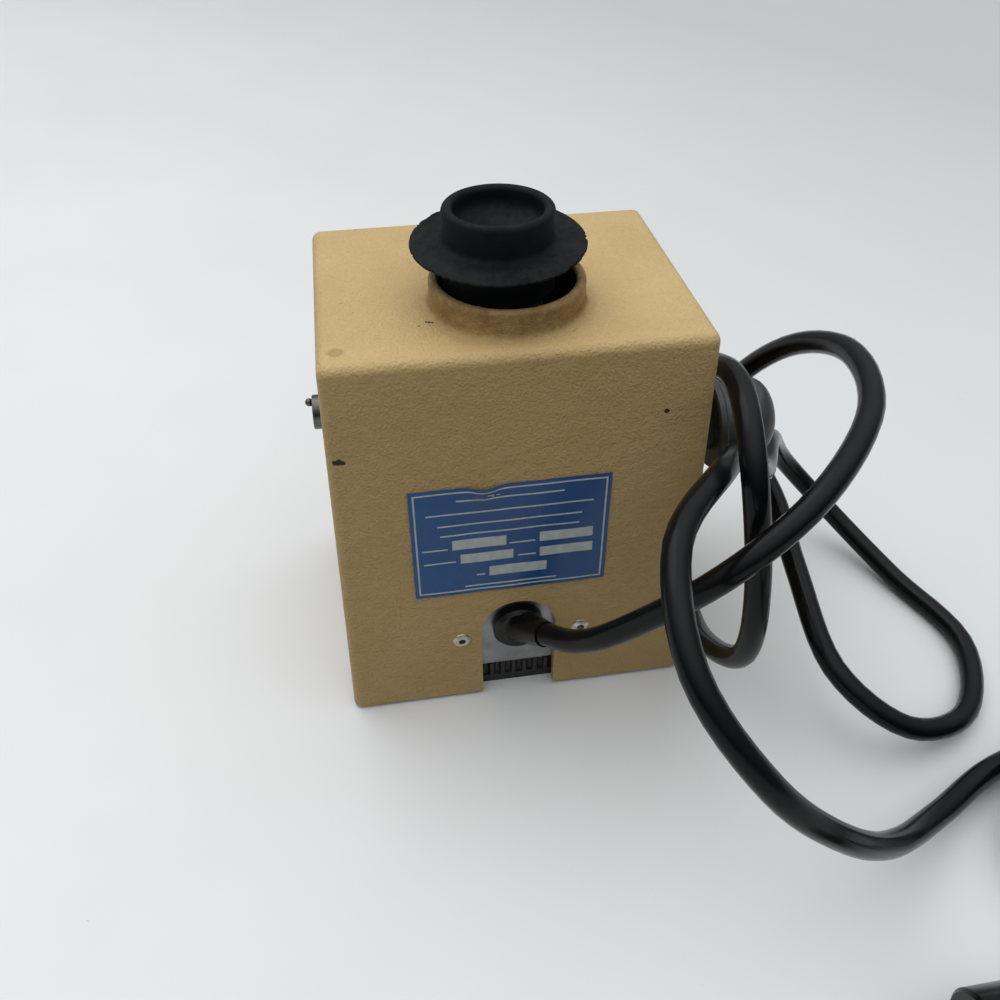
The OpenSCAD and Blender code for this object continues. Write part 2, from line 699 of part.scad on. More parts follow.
module bearing_balls() {
    color("#d5d7d9") at_pin(head_bearing_z + head_bearing_w / 2)
        for (i = [0 : 6]) rotate([0, 0, i * 360 / 7]) translate([7.55, 0, 0])
            sphere(r = 2.05, $fn = 24);
}
module crank_screw() {
    color("#8f9192") at_pin(head_bearing_z + head_bearing_w + eps) {
        cylinder(r = 5.6, h = 1, $fn = 48);
        translate([0, 0, 1]) hexagon(7, 2.8);
        translate([0, 0, -9]) cylinder(r = 2, h = 9.5, $fn = 32);
    }
}

// ---- head ----
module head_hub() {
    bottom = head_bearing_z - 1.2;
    color("#a9acaf") at_pin() difference() {
        rotate_extrude($fn = 64) polygon([[0, bottom], [head_hub_r - 0.8, bottom],
            [head_hub_r, bottom + 0.8], [head_hub_r, hub_top - 1], [head_hub_r - 1, hub_top],
            [0, hub_top]]);
        translate([0, 0, bottom - cut])
            cylinder(r = head_bearing_r + eps, h = 1.2 + head_bearing_w + cut + eps, $fn = 64);
        translate([0, 0, bottom]) cylinder(r = 8.6, h = 16, $fn = 64);
    }
}
module bearing_clip() {
    color("#4a4c4e") at_pin(head_bearing_z - 1.1) difference() {
        tube(head_bearing_r, 9.4, 1, 64);
        translate([7, -2.5, -cut]) cube([6, 5, 4]);
    }
}
module rubber_cup() {
    lip = (rim_r - mouth_r) / 2;
    floor_z = rim_z - cup_depth;
    root = 1.6;
    low_flange = cup_flange_z - flange_t;
    color("#1c1d20") at_pin() rotate_extrude($fn = 96) polygon(concat(
        [[0, floor_z - 1.1], [4, floor_z - 1], [7.5, floor_z - 0.6], [mouth_r - 1.8, floor_z]],
        arc(mouth_r - 1, floor_z + 1.8, 1.2, 290, 360, 3),
        [[mouth_r + 0.2, rim_z - 3.2]],
        arc(mouth_r + lip, rim_z - lip, lip, 170, 10, 8),
        [[rim_r - 0.2, rim_z - 4]],
        arc(rim_r + root - 0.3, cup_flange_z + root, root, 180, 270, 4),
        [[flange_r - 1.2, cup_flange_z]],
        arc(flange_r - flange_t / 2, cup_flange_z - flange_t / 2, flange_t / 2, 80, -80, 5),
        [[neck_r + 3, low_flange - 0.3]],
        arc(neck_r + 1.5, low_flange - 1.8, 1.5, 90, 180, 3),
        [[neck_r, neck_bottom + 0.8], [neck_r - 0.8, neck_bottom],
         [head_hub_r + fit, neck_bottom], [head_hub_r + fit, hub_top + fit],
         [0, hub_top + fit]]));
}

// ---- speed control ----
control_thread_r = 4.75;
control_shaft_r = 3.17;
control_nut_t = 2.4;
module at_control(x = 0) { on_left_wall() translate([x, knob_y, knob_z]) along_x() children(); }
module speed_control() {
    color("#5d6063") at_control(-wall - eps) difference() {
        union() {
            translate([0, 0, -12]) cylinder(r = 12, h = 12, $fn = 64);
            cylinder(r = control_thread_r, h = wall + 7, $fn = 48);
            translate([-17, -5, -6]) cube([8, 10, 1.2]);
        }
        translate([0, 0, -4]) cylinder(r = control_shaft_r + run_gap, h = 20, $fn = 48);
    }
}
module control_nut() {
    color("#b9bcbd") at_control(eps) difference() {
        hexagon(12.7, control_nut_t);
        translate([0, 0, -cut]) cylinder(r = control_thread_r + fit, h = 5, $fn = 48);
    }
}
module control_shaft() {
    color("#b9bcbd") at_control(-wall - 3.5)
        cylinder(r = control_shaft_r, h = 3.5 + wall + knob_off + knob_len - 6, $fn = 48);
}
module speed_knob() {
    boss_x = control_nut_t + 1;
    boss_r = 9.5;
    end_x = knob_off + knob_len;
    skirt_t = 3.2;
    round_r = 8;
    color("#2b2c26") at_control() difference() {
        rotate_extrude($fn = 96) polygon(concat(
            [[0, boss_x], [boss_r, boss_x], [boss_r, knob_off], [knob_skirt_r - 0.6, knob_off],
             [knob_skirt_r, knob_off + 0.6], [knob_skirt_r, knob_off + skirt_t - 0.8],
             [knob_skirt_r - 0.8, knob_off + skirt_t], [knob_r, knob_off + skirt_t + 0.4]],
            arc(knob_r - round_r, end_x - round_r, round_r, 0, 82, 10),
            [[0, end_x]]));
        translate([0, 0, boss_x - cut]) cylinder(r = control_thread_r + 0.6,
            h = 8.6 - boss_x + cut, $fn = 48);
        translate([0, 0, boss_x]) cylinder(r = control_shaft_r + eps, h = end_x - 5 - boss_x, $fn = 48);
        translate([0, 0, knob_off + 6]) rotate([0, 90, 0])
            cylinder(r = 1.8 + fit, h = knob_r + cut, $fn = 24);
    }
}
module knob_set_screw() {
    color("#4a4c4e") at_control(knob_off + 6) rotate([0, 90, 0])
        translate([0, 0, control_shaft_r + fit]) difference() {
            cylinder(r = 1.8, h = 6, $fn = 24);
            translate([0, 0, 4.5]) hexagon(1.8, 3);
        }
}

// ---- toggle switch ----
toggle_out = 4.8;          // how far the bushing stands out of the wall
toggle_pivot = -5;         // lever pivot behind the wall's outer face
lever_len = 12.9;
module at_toggle(x = 0) { on_right_wall() translate([x, toggle_y, toggle_z]) along_x() children(); }
module toggle_body() {
    color("#6d3b22") at_toggle(-wall - eps) difference() {
        translate([-14, -6.5, -22]) cube([28, 13, 22]);
        translate([0, 0, toggle_pivot + wall]) sphere(r = 3.2, $fn = 32);
        cylinder(r = 3.1, h = 5, center = true, $fn = 32);
    }
}
module toggle_bushing() {
    color("#d7d9db") at_toggle(-wall) rotate_extrude($fn = 64) polygon([
        [3.1, 0], [bushing_r, 0], [bushing_r, wall + toggle_out - 0.5],
        [bushing_r - 0.2, wall + toggle_out], [bushing_r - 0.4, wall + toggle_out],
        [3.1, 0.6]]);
}
module toggle_nut() {
    color("#d7d9db") at_toggle(eps) difference() {
        hexagon(14.3, 2);
        translate([0, 0, -cut]) cylinder(r = bushing_r + fit, h = 5, $fn = 64);
    }
}
module toggle_lever() {
    tip_r = 1.4;
    stalk_r = 1;
    color("#cfd1d3") at_toggle(toggle_pivot) rotate([0, -lever_tilt, 0]) union() {
        sphere(r = 2.6, $fn = 32);
        rotate_extrude($fn = 32) polygon(concat([[0, 0], [stalk_r, 0], [stalk_r, lever_len - 3]],
            arc(0, lever_len - tip_r, tip_r, 0, 90, 5)));
    }
}

function unit(v) = v / norm(v);
// Ring frames carried along a path without twisting
function carried(path, i, side) = let (t = tangent(path, i)) unit(side - (side * t) * t);
function tangent(path, i) = unit(path[min(i + 1, len(path) - 1)] - path[max(i - 1, 0)]);
function sides_along(path, i, side) = i >= len(path) ? [] :
    let (s = carried(path, i, side)) concat([s], sides_along(path, i + 1, s));
module swept_tube(path, r, sides) {
    first = abs(tangent(path, 0).z) < 0.9 ? [0, 0, 1] : [1, 0, 0];
    normals = sides_along(path, 0, first);
    n = len(path);
    points = [for (i = [0 : n - 1], k = [0 : sides - 1])
        let (a = 360 * k / sides, s = normals[i], b = cross(tangent(path, i), s))
        path[i] + r * (s * cos(a) + b * sin(a))];
    walls = [for (i = [0 : n - 2], k = [0 : sides - 1]) let (m = (k + 1) % sides)
        [i * sides + k, (i + 1) * sides + k, (i + 1) * sides + m, i * sides + m]];
    caps = [[for (k = [0 : sides - 1]) k], [for (k = [sides - 1 : -1 : 0]) (n - 1) * sides + k]];
    polyhedron(points, concat(walls, caps));
}

// ---- cord ----
// Out of the strain relief, up beside the knob and round behind it, down the wall, round under
// the slot's corner, up and over the knob, down to the table in a wide turn, back under the
// knob, over towards the back and down to the coil
route = [[-24, 81, 66], [-50, 88, 89], [-78, 80, 109], [-101, 57, 121], [-110, 23, 119],
    [-106, -8, 102], [-95, -26, 74], [-83, -22, 42], [-73, 2, 19], [-67, 37, 16], [-63, 68, 32],
    [-60, 91, 59], [-56, 97, 93], [-57, 78, 122], [-63, 44, 129], [-65, 10, 121],
    [-74, -15, 98], [-91, -16, 68], [-104, 9, 48], [-102, 42, 39], [-103, 78, 27],
    [-125, 96, 13], [-154, 88, 5], [-170, 57, 4], [-160, 21, 5], [-145, -9, 15],
    [-123, -21, 38], [-106, -5, 63], [-89, 26, 74], [-70, 45, 98], [-52, 70, 113],
    [-30, 98, 115], [-26, 129, 102], [-43, 148, 78], [-67, 150, 52], [-92, 142, 28],
    [-120, 127, 12], [-151, 111, 6], [-186, 104, 4]];
cord_points = concat([nose_tip], [for (p = route) laid([p.x, p.y, max(p.z, cord_r)])]);
coil_at = laid([-186, 104, 0]) + [0, coil_r, 0];
// Halfway point of the smooth curve between two route points
function halfway(path, i) = let (last = len(path) - 1)
    (9 * (path[i] + path[i + 1]) - path[max(i - 1, 0)] - path[min(i + 2, last)]) / 16;
module power_cord() {
    rings = [for (i = [0 : len(cord_points) - 1], half = [0, 1])
        if (half == 0 || i < len(cord_points) - 1)
            half == 0 ? cord_points[i] : halfway(cord_points, i)];
    color("#111213") swept_tube(rings, cord_r, 10);
}
module cord_coil() {
    color("#111213") translate(coil_at) rotate_extrude($fn = 96) union() {
        for (z = [cord_r, 3 * cord_r]) translate([coil_r, z]) circle(r = cord_r, $fn = 24);
        translate([coil_r - cord_r, cord_r]) square([2 * cord_r, 2 * cord_r]);
    }
}
// The cord leaves the coil's upper turn towards +X and ends in the plug
plug_r = 14;
tail_len = 32;
tail_start = coil_at + [0, coil_r, 3 * cord_r];
tail_end = [tail_start.x + tail_len, tail_start.y, plug_r];
plug_neck = 24;
plug_len = 60;
module cord_tail() {
    rise = tail_end.z - tail_start.z;
    steps = [0, 0.25, 0.5, 0.75, 1];
    color("#111213") swept_tube([for (t = steps)
        [tail_start.x + t * tail_len, tail_start.y, tail_start.z + rise * t * t * (3 - 2 * t)]],
        cord_r, 10);
}
module at_plug(x = 0) { translate(tail_end + [x, 0, 0]) along_x() children(); }
module plug_body() {
    waist_r = 10.5;
    color("#141414") at_plug() rotate_extrude($fn = 64) polygon([
        [0, 0], [cord_r + 0.8, 0], [7, plug_neck - 1], [waist_r, plug_neck + 2],
        [waist_r, plug_neck + 12], [plug_r - 1, plug_neck + 19], [plug_r, plug_neck + 22],
        [plug_r, plug_len - 1], [plug_r - 1, plug_len], [0, plug_len]]);
}
module plug_blades() {
    blade_gap = 12.7;
    blade = [6.35, 1.5, 17.5];
    pin_r = 2.4;
    color("#c9b26a") at_plug(plug_len + eps) {
        for (side = [-1, 1]) translate([3.6, side * blade_gap / 2, blade.z / 2])
            cube([blade.x, blade.y, blade.z], center = true);
        translate([-8.3, 0, 0]) rotate_extrude($fn = 32) polygon(concat([[0, 0], [pin_r, 0]],
            arc(0, 20.5 - pin_r, pin_r, 0, 90, 6)));
    }
}

housing();
chassis();
base_pad();
case_rivets();
rating_plate();
strain_relief();
motor_posts();
post_screws();
grommets();
motor_plate();
lower_bracket();
lower_bearing();
stator_core();
coil_bar();
coil_bobbin();
coil_winding();
shading_rings();
upper_bracket();
upper_bearing();
motor_bolts();
motor_nuts();
thrust_guide();
return_spring();
switch_body();
switch_bracket();
switch_screws();
switch_lever();
switch_button();
thrust_plunger();
thrust_ball();
motor_shaft();
rotor_core();
shaft_collar();
counterweight();
weight_set_screw();
crank_pin();
bearing_inner();
crank_screw();
bearing_balls();
bearing_outer();
bearing_clip();
head_hub();
rubber_cup();
speed_control();
control_nut();
control_shaft();
speed_knob();
knob_set_screw();
toggle_body();
toggle_bushing();
toggle_nut();
toggle_lever();
power_cord();
cord_coil();
cord_tail();
plug_body();
plug_blades();
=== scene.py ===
import json
import math

import bmesh
import bpy
from mathutils import Matrix, Vector
from mathutils.bvhtree import BVHTree


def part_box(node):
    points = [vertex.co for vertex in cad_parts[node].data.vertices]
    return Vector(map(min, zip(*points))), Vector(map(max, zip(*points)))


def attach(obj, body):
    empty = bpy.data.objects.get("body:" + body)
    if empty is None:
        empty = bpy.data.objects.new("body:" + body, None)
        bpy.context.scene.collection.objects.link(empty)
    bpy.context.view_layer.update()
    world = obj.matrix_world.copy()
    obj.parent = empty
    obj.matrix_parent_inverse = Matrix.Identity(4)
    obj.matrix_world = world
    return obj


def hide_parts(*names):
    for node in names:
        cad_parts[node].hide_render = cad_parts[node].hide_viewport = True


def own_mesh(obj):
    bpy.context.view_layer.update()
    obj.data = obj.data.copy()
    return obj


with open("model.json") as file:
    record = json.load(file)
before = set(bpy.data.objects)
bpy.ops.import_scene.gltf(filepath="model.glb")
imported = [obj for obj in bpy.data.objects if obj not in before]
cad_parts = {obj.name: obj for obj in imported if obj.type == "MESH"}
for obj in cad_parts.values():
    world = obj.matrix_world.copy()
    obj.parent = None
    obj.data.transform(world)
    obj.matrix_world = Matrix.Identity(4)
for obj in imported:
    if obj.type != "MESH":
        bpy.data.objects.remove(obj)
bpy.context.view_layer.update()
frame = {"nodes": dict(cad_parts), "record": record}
nodes = frame["nodes"]
print("frame loaded:", len(nodes), "nodes")

# ---- camera ----
cameraSetup = {
    "place": (0.042351, 0.260625, 0.278226),
    "right": (-0.986841, 0.161692, -0.000759),
    "down": (0.106082, 0.643889, -0.757729),
    "ahead": (-0.122030, -0.747839, -0.652569),
    "lens": 33.518,
    "sensor": 36,
}


def addCamera(setup):
    data = bpy.data.cameras.new("camera")
    data.lens, data.sensor_width, data.clip_start = setup["lens"], setup["sensor"], 0.01
    camera = bpy.data.objects.new("camera", data)
    bpy.context.collection.objects.link(camera)
    right, up = Vector(setup["right"]), -Vector(setup["down"])
    back = -Vector(setup["ahead"])
    turn = Matrix((right, up, back)).transposed().to_4x4()
    camera.matrix_world = Matrix.Translation(setup["place"]) @ turn
    bpy.context.scene.camera = camera


addCamera(cameraSetup)
bpy.context.scene.view_settings.view_transform = "Standard"
print("camera placed")

# ---- mains cord ----
# millimetres; the route runs from the strain relief to the coil of spare cord
cordPlan = {
    "radius": 3.95, "steps": 6, "reliefBase": (1, 45.56, 32.73), "reliefAim": (-7, 61, 42),
    "reliefNeck": 17, "coilCentre": (-186, 148), "coilRadius": 44, "coilTurns": 1.5,
    "coilTop": 11.95, "crossing": 12.9, "tail": 32, "plugHeight": 14,
    "route": [(-13.5, 70.5, 49), (-24, 81, 64), (-47, 94, 96), (-75, 85, 114), (-101, 57, 121),
              (-110, 23, 119), (-106, -8, 102), (-95, -26, 74), (-83, -22, 42), (-73, 2, 19),
              (-67, 37, 16), (-65, 64, 28), (-66, 82, 47), (-63, 85, 80), (-59, 74, 118),
              (-63, 46, 127), (-65, 16, 115), (-73, -13, 98), (-91, -16, 68), (-104, 9, 48),
              (-102, 42, 39), (-103, 78, 27), (-125, 96, 13), (-154, 88, 5), (-170, 57, 4.2),
              (-160, 21, 5), (-145, -9, 15), (-123, -21, 38), (-106, -5, 63), (-89, 26, 74),
              (-70, 45, 98), (-52, 70, 113), (-30, 98, 115), (-26, 129, 102), (-43, 148, 78),
              (-67, 150, 52), (-92, 142, 28), (-120, 127, 12), (-151, 111, 5.4), (-186, 104, 4)],
}


def easeIn(value):
    value = max(0.0, min(1.0, value))
    return value * value * (3 - 2 * value)


def smoothLine(points, steps):
    line = []
    ends = [2 * points[0] - points[1]] + points
    for i in range(1, len(ends) - 2):
        a, b, c, d = ends[i - 1:i + 3]
        for k in range(steps):
            t = k / steps
            line.append(0.5 * (2 * b + (c - a) * t + (2 * a - 5 * b + 4 * c - d) * t * t
                               + (3 * b - a - 3 * c + d) * t ** 3))
    return line


def coilPoint(plan, turns):
    angle = 2 * math.pi * turns
    height = plan["radius"] + 0.05
    height += (plan["crossing"] - height) * easeIn((turns - 0.58) / 0.26)
    height -= (plan["crossing"] - plan["coilTop"]) * easeIn((turns - 1.0) / 0.2)
    x, y = plan["coilCentre"]
    return Vector((x - plan["coilRadius"] * math.sin(angle),
                   y - plan["coilRadius"] * math.cos(angle), height))


def cordLine(plan):
    base = Vector(plan["reliefBase"])
    start = base + plan["reliefNeck"] * (Vector(plan["reliefAim"]) - base).normalized()
    route = [start] + [Vector(point) for point in plan["route"]]
    line = smoothLine(route + [coilPoint(plan, 0.1)], plan["steps"])
    count = round(60 * plan["coilTurns"])
    line += [coilPoint(plan, plan["coilTurns"] * i / count) for i in range(count + 1)]
    last = line[-1]
    for i in range(1, 9):
        t = i / 8
        line.append(Vector((last.x + t * plan["tail"], last.y,
                            last.z + (plan["plugHeight"] - last.z) * easeIn(t))))
    low = plan["radius"] + 0.03
    return [Vector((p.x, p.y, max(p.z, low))) * 0.001 for p in line]


def makeCord(plan):
    line = cordLine(plan)
    curve = bpy.data.curves.new("mainsCord", "CURVE")
    curve.dimensions = "3D"
    curve.bevel_depth, curve.bevel_resolution = 1.0, 5
    curve.use_fill_caps = True
    spline = curve.splines.new("POLY")
    spline.points.add(len(line) - 1)
    for point, place in zip(spline.points, line):
        point.co = (*place, 1)
        point.radius = plan["radius"] * 0.001
    spline.use_smooth = True
    piece = bpy.data.objects.new("mainsCord", curve)
    bpy.context.collection.objects.link(piece)
    length = sum((b - a).length for a, b in zip(line, line[1:]))
    return piece, line[0], length


mainsCord, cordStart, cordLength = makeCord(cordPlan)
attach(mainsCord, "case")
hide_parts("power_cord", "cord_coil", "cord_tail")
print("cord laid:", round(cordLength, 3), "m")


# ---- shader groups shared by the finishes ----
def newGroup(name, inputs, outputs):
    group = bpy.data.node_groups.new(name, "ShaderNodeTree")
    for label, kind, value in inputs:
        socket = group.interface.new_socket(label, in_out="INPUT", socket_type=kind)
        if value is not None:
            socket.default_value = value
    for label, kind in outputs:
        group.interface.new_socket(label, in_out="OUTPUT", socket_type=kind)
    return group, group.nodes.new("NodeGroupInput"), group.nodes.new("NodeGroupOutput")


def noiseNode(tree, vector, scale, detail=4.0, rough=0.55):
    noise = tree.nodes.new("ShaderNodeTexNoise")
    noise.inputs["Detail"].default_value = detail
    noise.inputs["Roughness"].default_value = rough
    if hasattr(scale, "is_output"):
        tree.links.new(scale, noise.inputs["Scale"])
    else:
        noise.inputs["Scale"].default_value = scale
    tree.links.new(vector, noise.inputs["Vector"])
    return noise.outputs["Fac"]


def mathNode(tree, operation, *values, clamp=False):
    node = tree.nodes.new("ShaderNodeMath")
    node.operation, node.use_clamp = operation, clamp
    for i, value in enumerate(values):
        if hasattr(value, "is_output"):
            tree.links.new(value, node.inputs[i])
        else:
            node.inputs[i].default_value = value
    return node.outputs[0]


def rangeNode(tree, value, low, high, outLow=0.0, outHigh=1.0):
    node = tree.nodes.new("ShaderNodeMapRange")
    node.clamp = True
    for label, given in (("Value", value), ("From Min", low), ("From Max", high),
                         ("To Min", outLow), ("To Max", outHigh)):
        if hasattr(given, "is_output"):
            tree.links.new(given, node.inputs[label])
        else:
            node.inputs[label].default_value = given
    return node.outputs["Result"]


def mixColor(tree, factor, first, second):
    node = tree.nodes.new("ShaderNodeMix")
    node.data_type = "RGBA"
    for slot, given in ((0, factor), (6, first), (7, second)):
        if hasattr(given, "is_output"):
            tree.links.new(given, node.inputs[slot])
        elif slot == 0:
            node.inputs[slot].default_value = given
        else:
            node.inputs[slot].default_value = (*given[:3], 1)
    return node.outputs[2]


def makeMottle():
    group, start, end = newGroup("mottle", [
        ("Vector", "NodeSocketVector", None), ("Light", "NodeSocketColor", None),
        ("Dark", "NodeSocketColor", None), ("Scale", "NodeSocketFloat", 60.0),
        ("Low", "NodeSocketFloat", 0.35), ("High", "NodeSocketFloat", 0.65)],
        [("Color", "NodeSocketColor"), ("Mask", "NodeSocketFloat")])
    cloud = noiseNode(group, start.outputs["Vector"], start.outputs["Scale"])
    mask = rangeNode(group, cloud, start.outputs["Low"], start.outputs["High"])
    colour = mixColor(group, mask, start.outputs["Light"], start.outputs["Dark"])
    group.links.new(colour, end.inputs["Color"])
    group.links.new(mask, end.inputs["Mask"])
    return group


def makeGrain():
    group, start, end = newGroup("grain", [
        ("Vector", "NodeSocketVector", None), ("Scale", "NodeSocketFloat", 1500.0),
        ("Coarse", "NodeSocketFloat", 0.25)], [("Height", "NodeSocketFloat")])
    fine = noiseNode(group, start.outputs["Vector"], start.outputs["Scale"], 3.0)
    slow = mathNode(group, "MULTIPLY", start.outputs["Scale"], 0.22)
    broad = noiseNode(group, start.outputs["Vector"], slow, 2.0)
    scaled = mathNode(group, "MULTIPLY", broad, start.outputs["Coarse"])
    group.links.new(mathNode(group, "ADD", fine, scaled), end.inputs["Height"])
    return group


def makeSmudge():
    group, start, end = newGroup("smudge", [
        ("Vector", "NodeSocketVector", None), ("Scale", "NodeSocketFloat", 90.0),
        ("Smooth", "NodeSocketFloat", 0.3), ("Rough", "NodeSocketFloat", 0.6)],
        [("Roughness", "NodeSocketFloat")])
    cloud = noiseNode(group, start.outputs["Vector"], start.outputs["Scale"], 6.0, 0.65)
    out = rangeNode(group, cloud, 0.3, 0.7, start.outputs["Smooth"], start.outputs["Rough"])
    group.links.new(out, end.inputs["Roughness"])
    return group


def makeDust():
    group, start, end = newGroup("dust", [
        ("Vector", "NodeSocketVector", None), ("Color", "NodeSocketColor", None),
        ("Dust", "NodeSocketColor", None), ("Amount", "NodeSocketFloat", 0.2),
        ("Scale", "NodeSocketFloat", 400.0)], [("Color", "NodeSocketColor")])
    geometry = group.nodes.new("ShaderNodeNewGeometry")
    split = group.nodes.new("ShaderNodeSeparateXYZ")
    group.links.new(geometry.outputs["Normal"], split.inputs[0])
    facing = rangeNode(group, split.outputs["Z"], 0.1, 0.95)
    cloud = noiseNode(group, start.outputs["Vector"], start.outputs["Scale"], 8.0, 0.7)
    speck = rangeNode(group, cloud, 0.42, 0.72)
    mask = mathNode(group, "MULTIPLY", mathNode(group, "MULTIPLY", facing, speck),
                    start.outputs["Amount"], clamp=True)
    colour = mixColor(group, mask, start.outputs["Color"], start.outputs["Dust"])
    group.links.new(colour, end.inputs["Color"])
    return group


def makeSpot():
    group, start, end = newGroup("spot", [
        ("Vector", "NodeSocketVector", None), ("Centre", "NodeSocketVector", None),
        ("Radius", "NodeSocketFloat", 0.001), ("Ragged", "NodeSocketFloat", 0.4)],
        [("Mask", "NodeSocketFloat"), ("Rim", "NodeSocketFloat")])
    distance = group.nodes.new("ShaderNodeVectorMath")
    distance.operation = "DISTANCE"
    group.links.new(start.outputs["Vector"], distance.inputs[0])
    group.links.new(start.outputs["Centre"], distance.inputs[1])
    ratio = mathNode(group, "DIVIDE", distance.outputs["Value"], start.outputs["Radius"])
    edge = noiseNode(group, start.outputs["Vector"], 900.0, 3.0)
    shift = mathNode(group, "MULTIPLY", mathNode(group, "SUBTRACT", edge, 0.5),
                     mathNode(group, "MULTIPLY", start.outputs["Ragged"], 4.0))
    ragged = mathNode(group, "ADD", ratio, shift)
    group.links.new(rangeNode(group, ragged, 0.9, 1.05, 1.0, 0.0), end.inputs["Mask"])
    rim = mathNode(group, "MULTIPLY", rangeNode(group, ragged, 0.8, 1.0),
                   rangeNode(group, ragged, 1.1, 1.5, 1.0, 0.0))
    group.links.new(rim, end.inputs["Rim"])
    return group


groups = {"mottle": makeMottle(), "grain": makeGrain(), "smudge": makeSmudge(),
          "dust": makeDust(), "spot": makeSpot()}


def useGroup(tree, name, **given):
    node = tree.nodes.new("ShaderNodeGroup")
    node.node_tree = groups[name]
    for label, value in given.items():
        socket = node.inputs[label]
        if hasattr(value, "is_output"):
            tree.links.new(value, socket)
        elif socket.type == "RGBA":
            socket.default_value = (*value[:3], 1)
        else:
            socket.default_value = value
    return node.outputs


print("shader groups built")

# ---- finishes ----
# light and dark tone, mottle scale, gloss range, grain scale and depth, dust
finishes = {
    "cupRubber": {"light": (0.0055, 0.0065, 0.0075), "dark": (0.003, 0.0037, 0.0045), "mottle": 110,
                  "smooth": 0.6, "rough": 0.85, "grain": 1500, "depth": 0.00006, "dust": 0.03,
                  "specular": 0.16},
    "padRubber": {"light": (0.016, 0.016, 0.016), "dark": (0.007, 0.007, 0.007), "mottle": 160,
                  "smooth": 0.35, "rough": 0.6, "grain": 1300, "depth": 0.00008, "dust": 0.25},
    "cordVinyl": {"light": (0.0045, 0.005, 0.0055), "dark": (0.003, 0.0035, 0.004), "mottle": 70,
                  "smooth": 0.16, "rough": 0.26, "grain": 2200, "depth": 0.00002, "dust": 0.0,
                  "specular": 0.17},
    "blackPlastic": {"light": (0.005, 0.005, 0.0055), "dark": (0.003, 0.003, 0.0035), "mottle": 120,
                     "smooth": 0.18, "rough": 0.32, "grain": 2500, "depth": 0.00003, "dust": 0.0,
                     "specular": 0.3},
    "knobPlastic": {"light": (0.046, 0.050, 0.048), "dark": (0.030, 0.033, 0.032), "mottle": 150,
                    "smooth": 0.34, "rough": 0.5, "grain": 1900, "depth": 0.00003, "dust": 0.08},
    # painted shade: near black, for the rivets' holes and the mandrels in them
    "mandrelShade": {"light": (0.010, 0.009, 0.008), "dark": (0.004, 0.004, 0.004), "mottle": 500,
                  "smooth": 0.5, "rough": 0.7, "grain": 2500, "depth": 0.00002, "dust": 0.02,
                  "specular": 0.2},
    "zincSteel": {"light": (0.33, 0.34, 0.345), "dark": (0.24, 0.25, 0.25), "mottle": 130,
                  "smooth": 0.34, "rough": 0.52, "grain": 900, "depth": 0.00002, "dust": 0.1,
                  "metal": 1.0},
    "brightChrome": {"light": (0.13, 0.13, 0.12), "dark": (0.07, 0.07, 0.065), "mottle": 300,
                     "smooth": 0.16, "rough": 0.34, "grain": 1500, "depth": 0.00001, "dust": 0.1,
                     "metal": 1.0},
    "rivetMetal": {"light": (0.62, 0.58, 0.50), "dark": (0.36, 0.33, 0.27), "mottle": 500,
                   "smooth": 0.22, "rough": 0.5, "grain": 1800, "depth": 0.00002, "dust": 0.1,
                   "metal": 1.0},
    "lamination": {"light": (0.20, 0.205, 0.21), "dark": (0.11, 0.11, 0.115), "mottle": 150,
                   "smooth": 0.35, "rough": 0.6, "grain": 700, "depth": 0.00004, "dust": 0.1,
                   "metal": 0.8},
    "bronze": {"light": (0.50, 0.34, 0.15), "dark": (0.32, 0.20, 0.09), "mottle": 400,
               "smooth": 0.3, "rough": 0.5, "grain": 1800, "depth": 0.00003, "dust": 0.0,
               "metal": 1.0},
    "copper": {"light": (0.50, 0.20, 0.08), "dark": (0.30, 0.11, 0.04), "mottle": 300,
               "smooth": 0.22, "rough": 0.4, "grain": 1500, "depth": 0.00002, "dust": 0.0,
               "metal": 0.9},
    "castAlloy": {"light": (0.46, 0.47, 0.48), "dark": (0.30, 0.31, 0.32), "mottle": 200,
                  "smooth": 0.4, "rough": 0.65, "grain": 900, "depth": 0.00006, "dust": 0.1,
                  "metal": 1.0},
    "groundSteel": {"light": (0.60, 0.61, 0.62), "dark": (0.45, 0.46, 0.47), "mottle": 350,
                    "smooth": 0.16, "rough": 0.34, "grain": 2500, "depth": 0.00001, "dust": 0.0,
                    "metal": 1.0},
    "darkSteel": {"light": (0.07, 0.072, 0.075), "dark": (0.04, 0.04, 0.042), "mottle": 300,
                  "smooth": 0.3, "rough": 0.5, "grain": 1500, "depth": 0.00002, "dust": 0.1,
                  "metal": 0.9},
    "nylon": {"light": (0.62, 0.56, 0.42), "dark": (0.52, 0.45, 0.32), "mottle": 150,
              "smooth": 0.35, "rough": 0.5, "grain": 1500, "depth": 0.00002, "dust": 0.1},
    "switchCase": {"light": (0.018, 0.017, 0.016), "dark": (0.010, 0.010, 0.010), "mottle": 200,
                   "smooth": 0.32, "rough": 0.5, "grain": 2000, "depth": 0.00002, "dust": 0.1},
    # painted shade: a near-black finish for the case's inside and collar bore, standing for the shade in
    # there
    "insideShade": {"light": (0.030, 0.027, 0.024), "dark": (0.016, 0.015, 0.014), "mottle": 150,
                   "smooth": 0.6, "rough": 0.85, "grain": 900, "depth": 0.0001, "dust": 0.05,
                   "specular": 0.2},
    "switchRed": {"light": (0.42, 0.03, 0.02), "dark": (0.30, 0.02, 0.015), "mottle": 300,
                  "smooth": 0.3, "rough": 0.45, "grain": 2000, "depth": 0.00001, "dust": 0.0},
}
dustTone = (0.36, 0.34, 0.30)


def newMaterial(name):
    material = bpy.data.materials.new(name)
    material.use_nodes = True
    tree = material.node_tree
    shader = tree.nodes["Principled BSDF"]
    place = tree.nodes.new("ShaderNodeTexCoord").outputs["Object"]
    return material, tree, shader, place


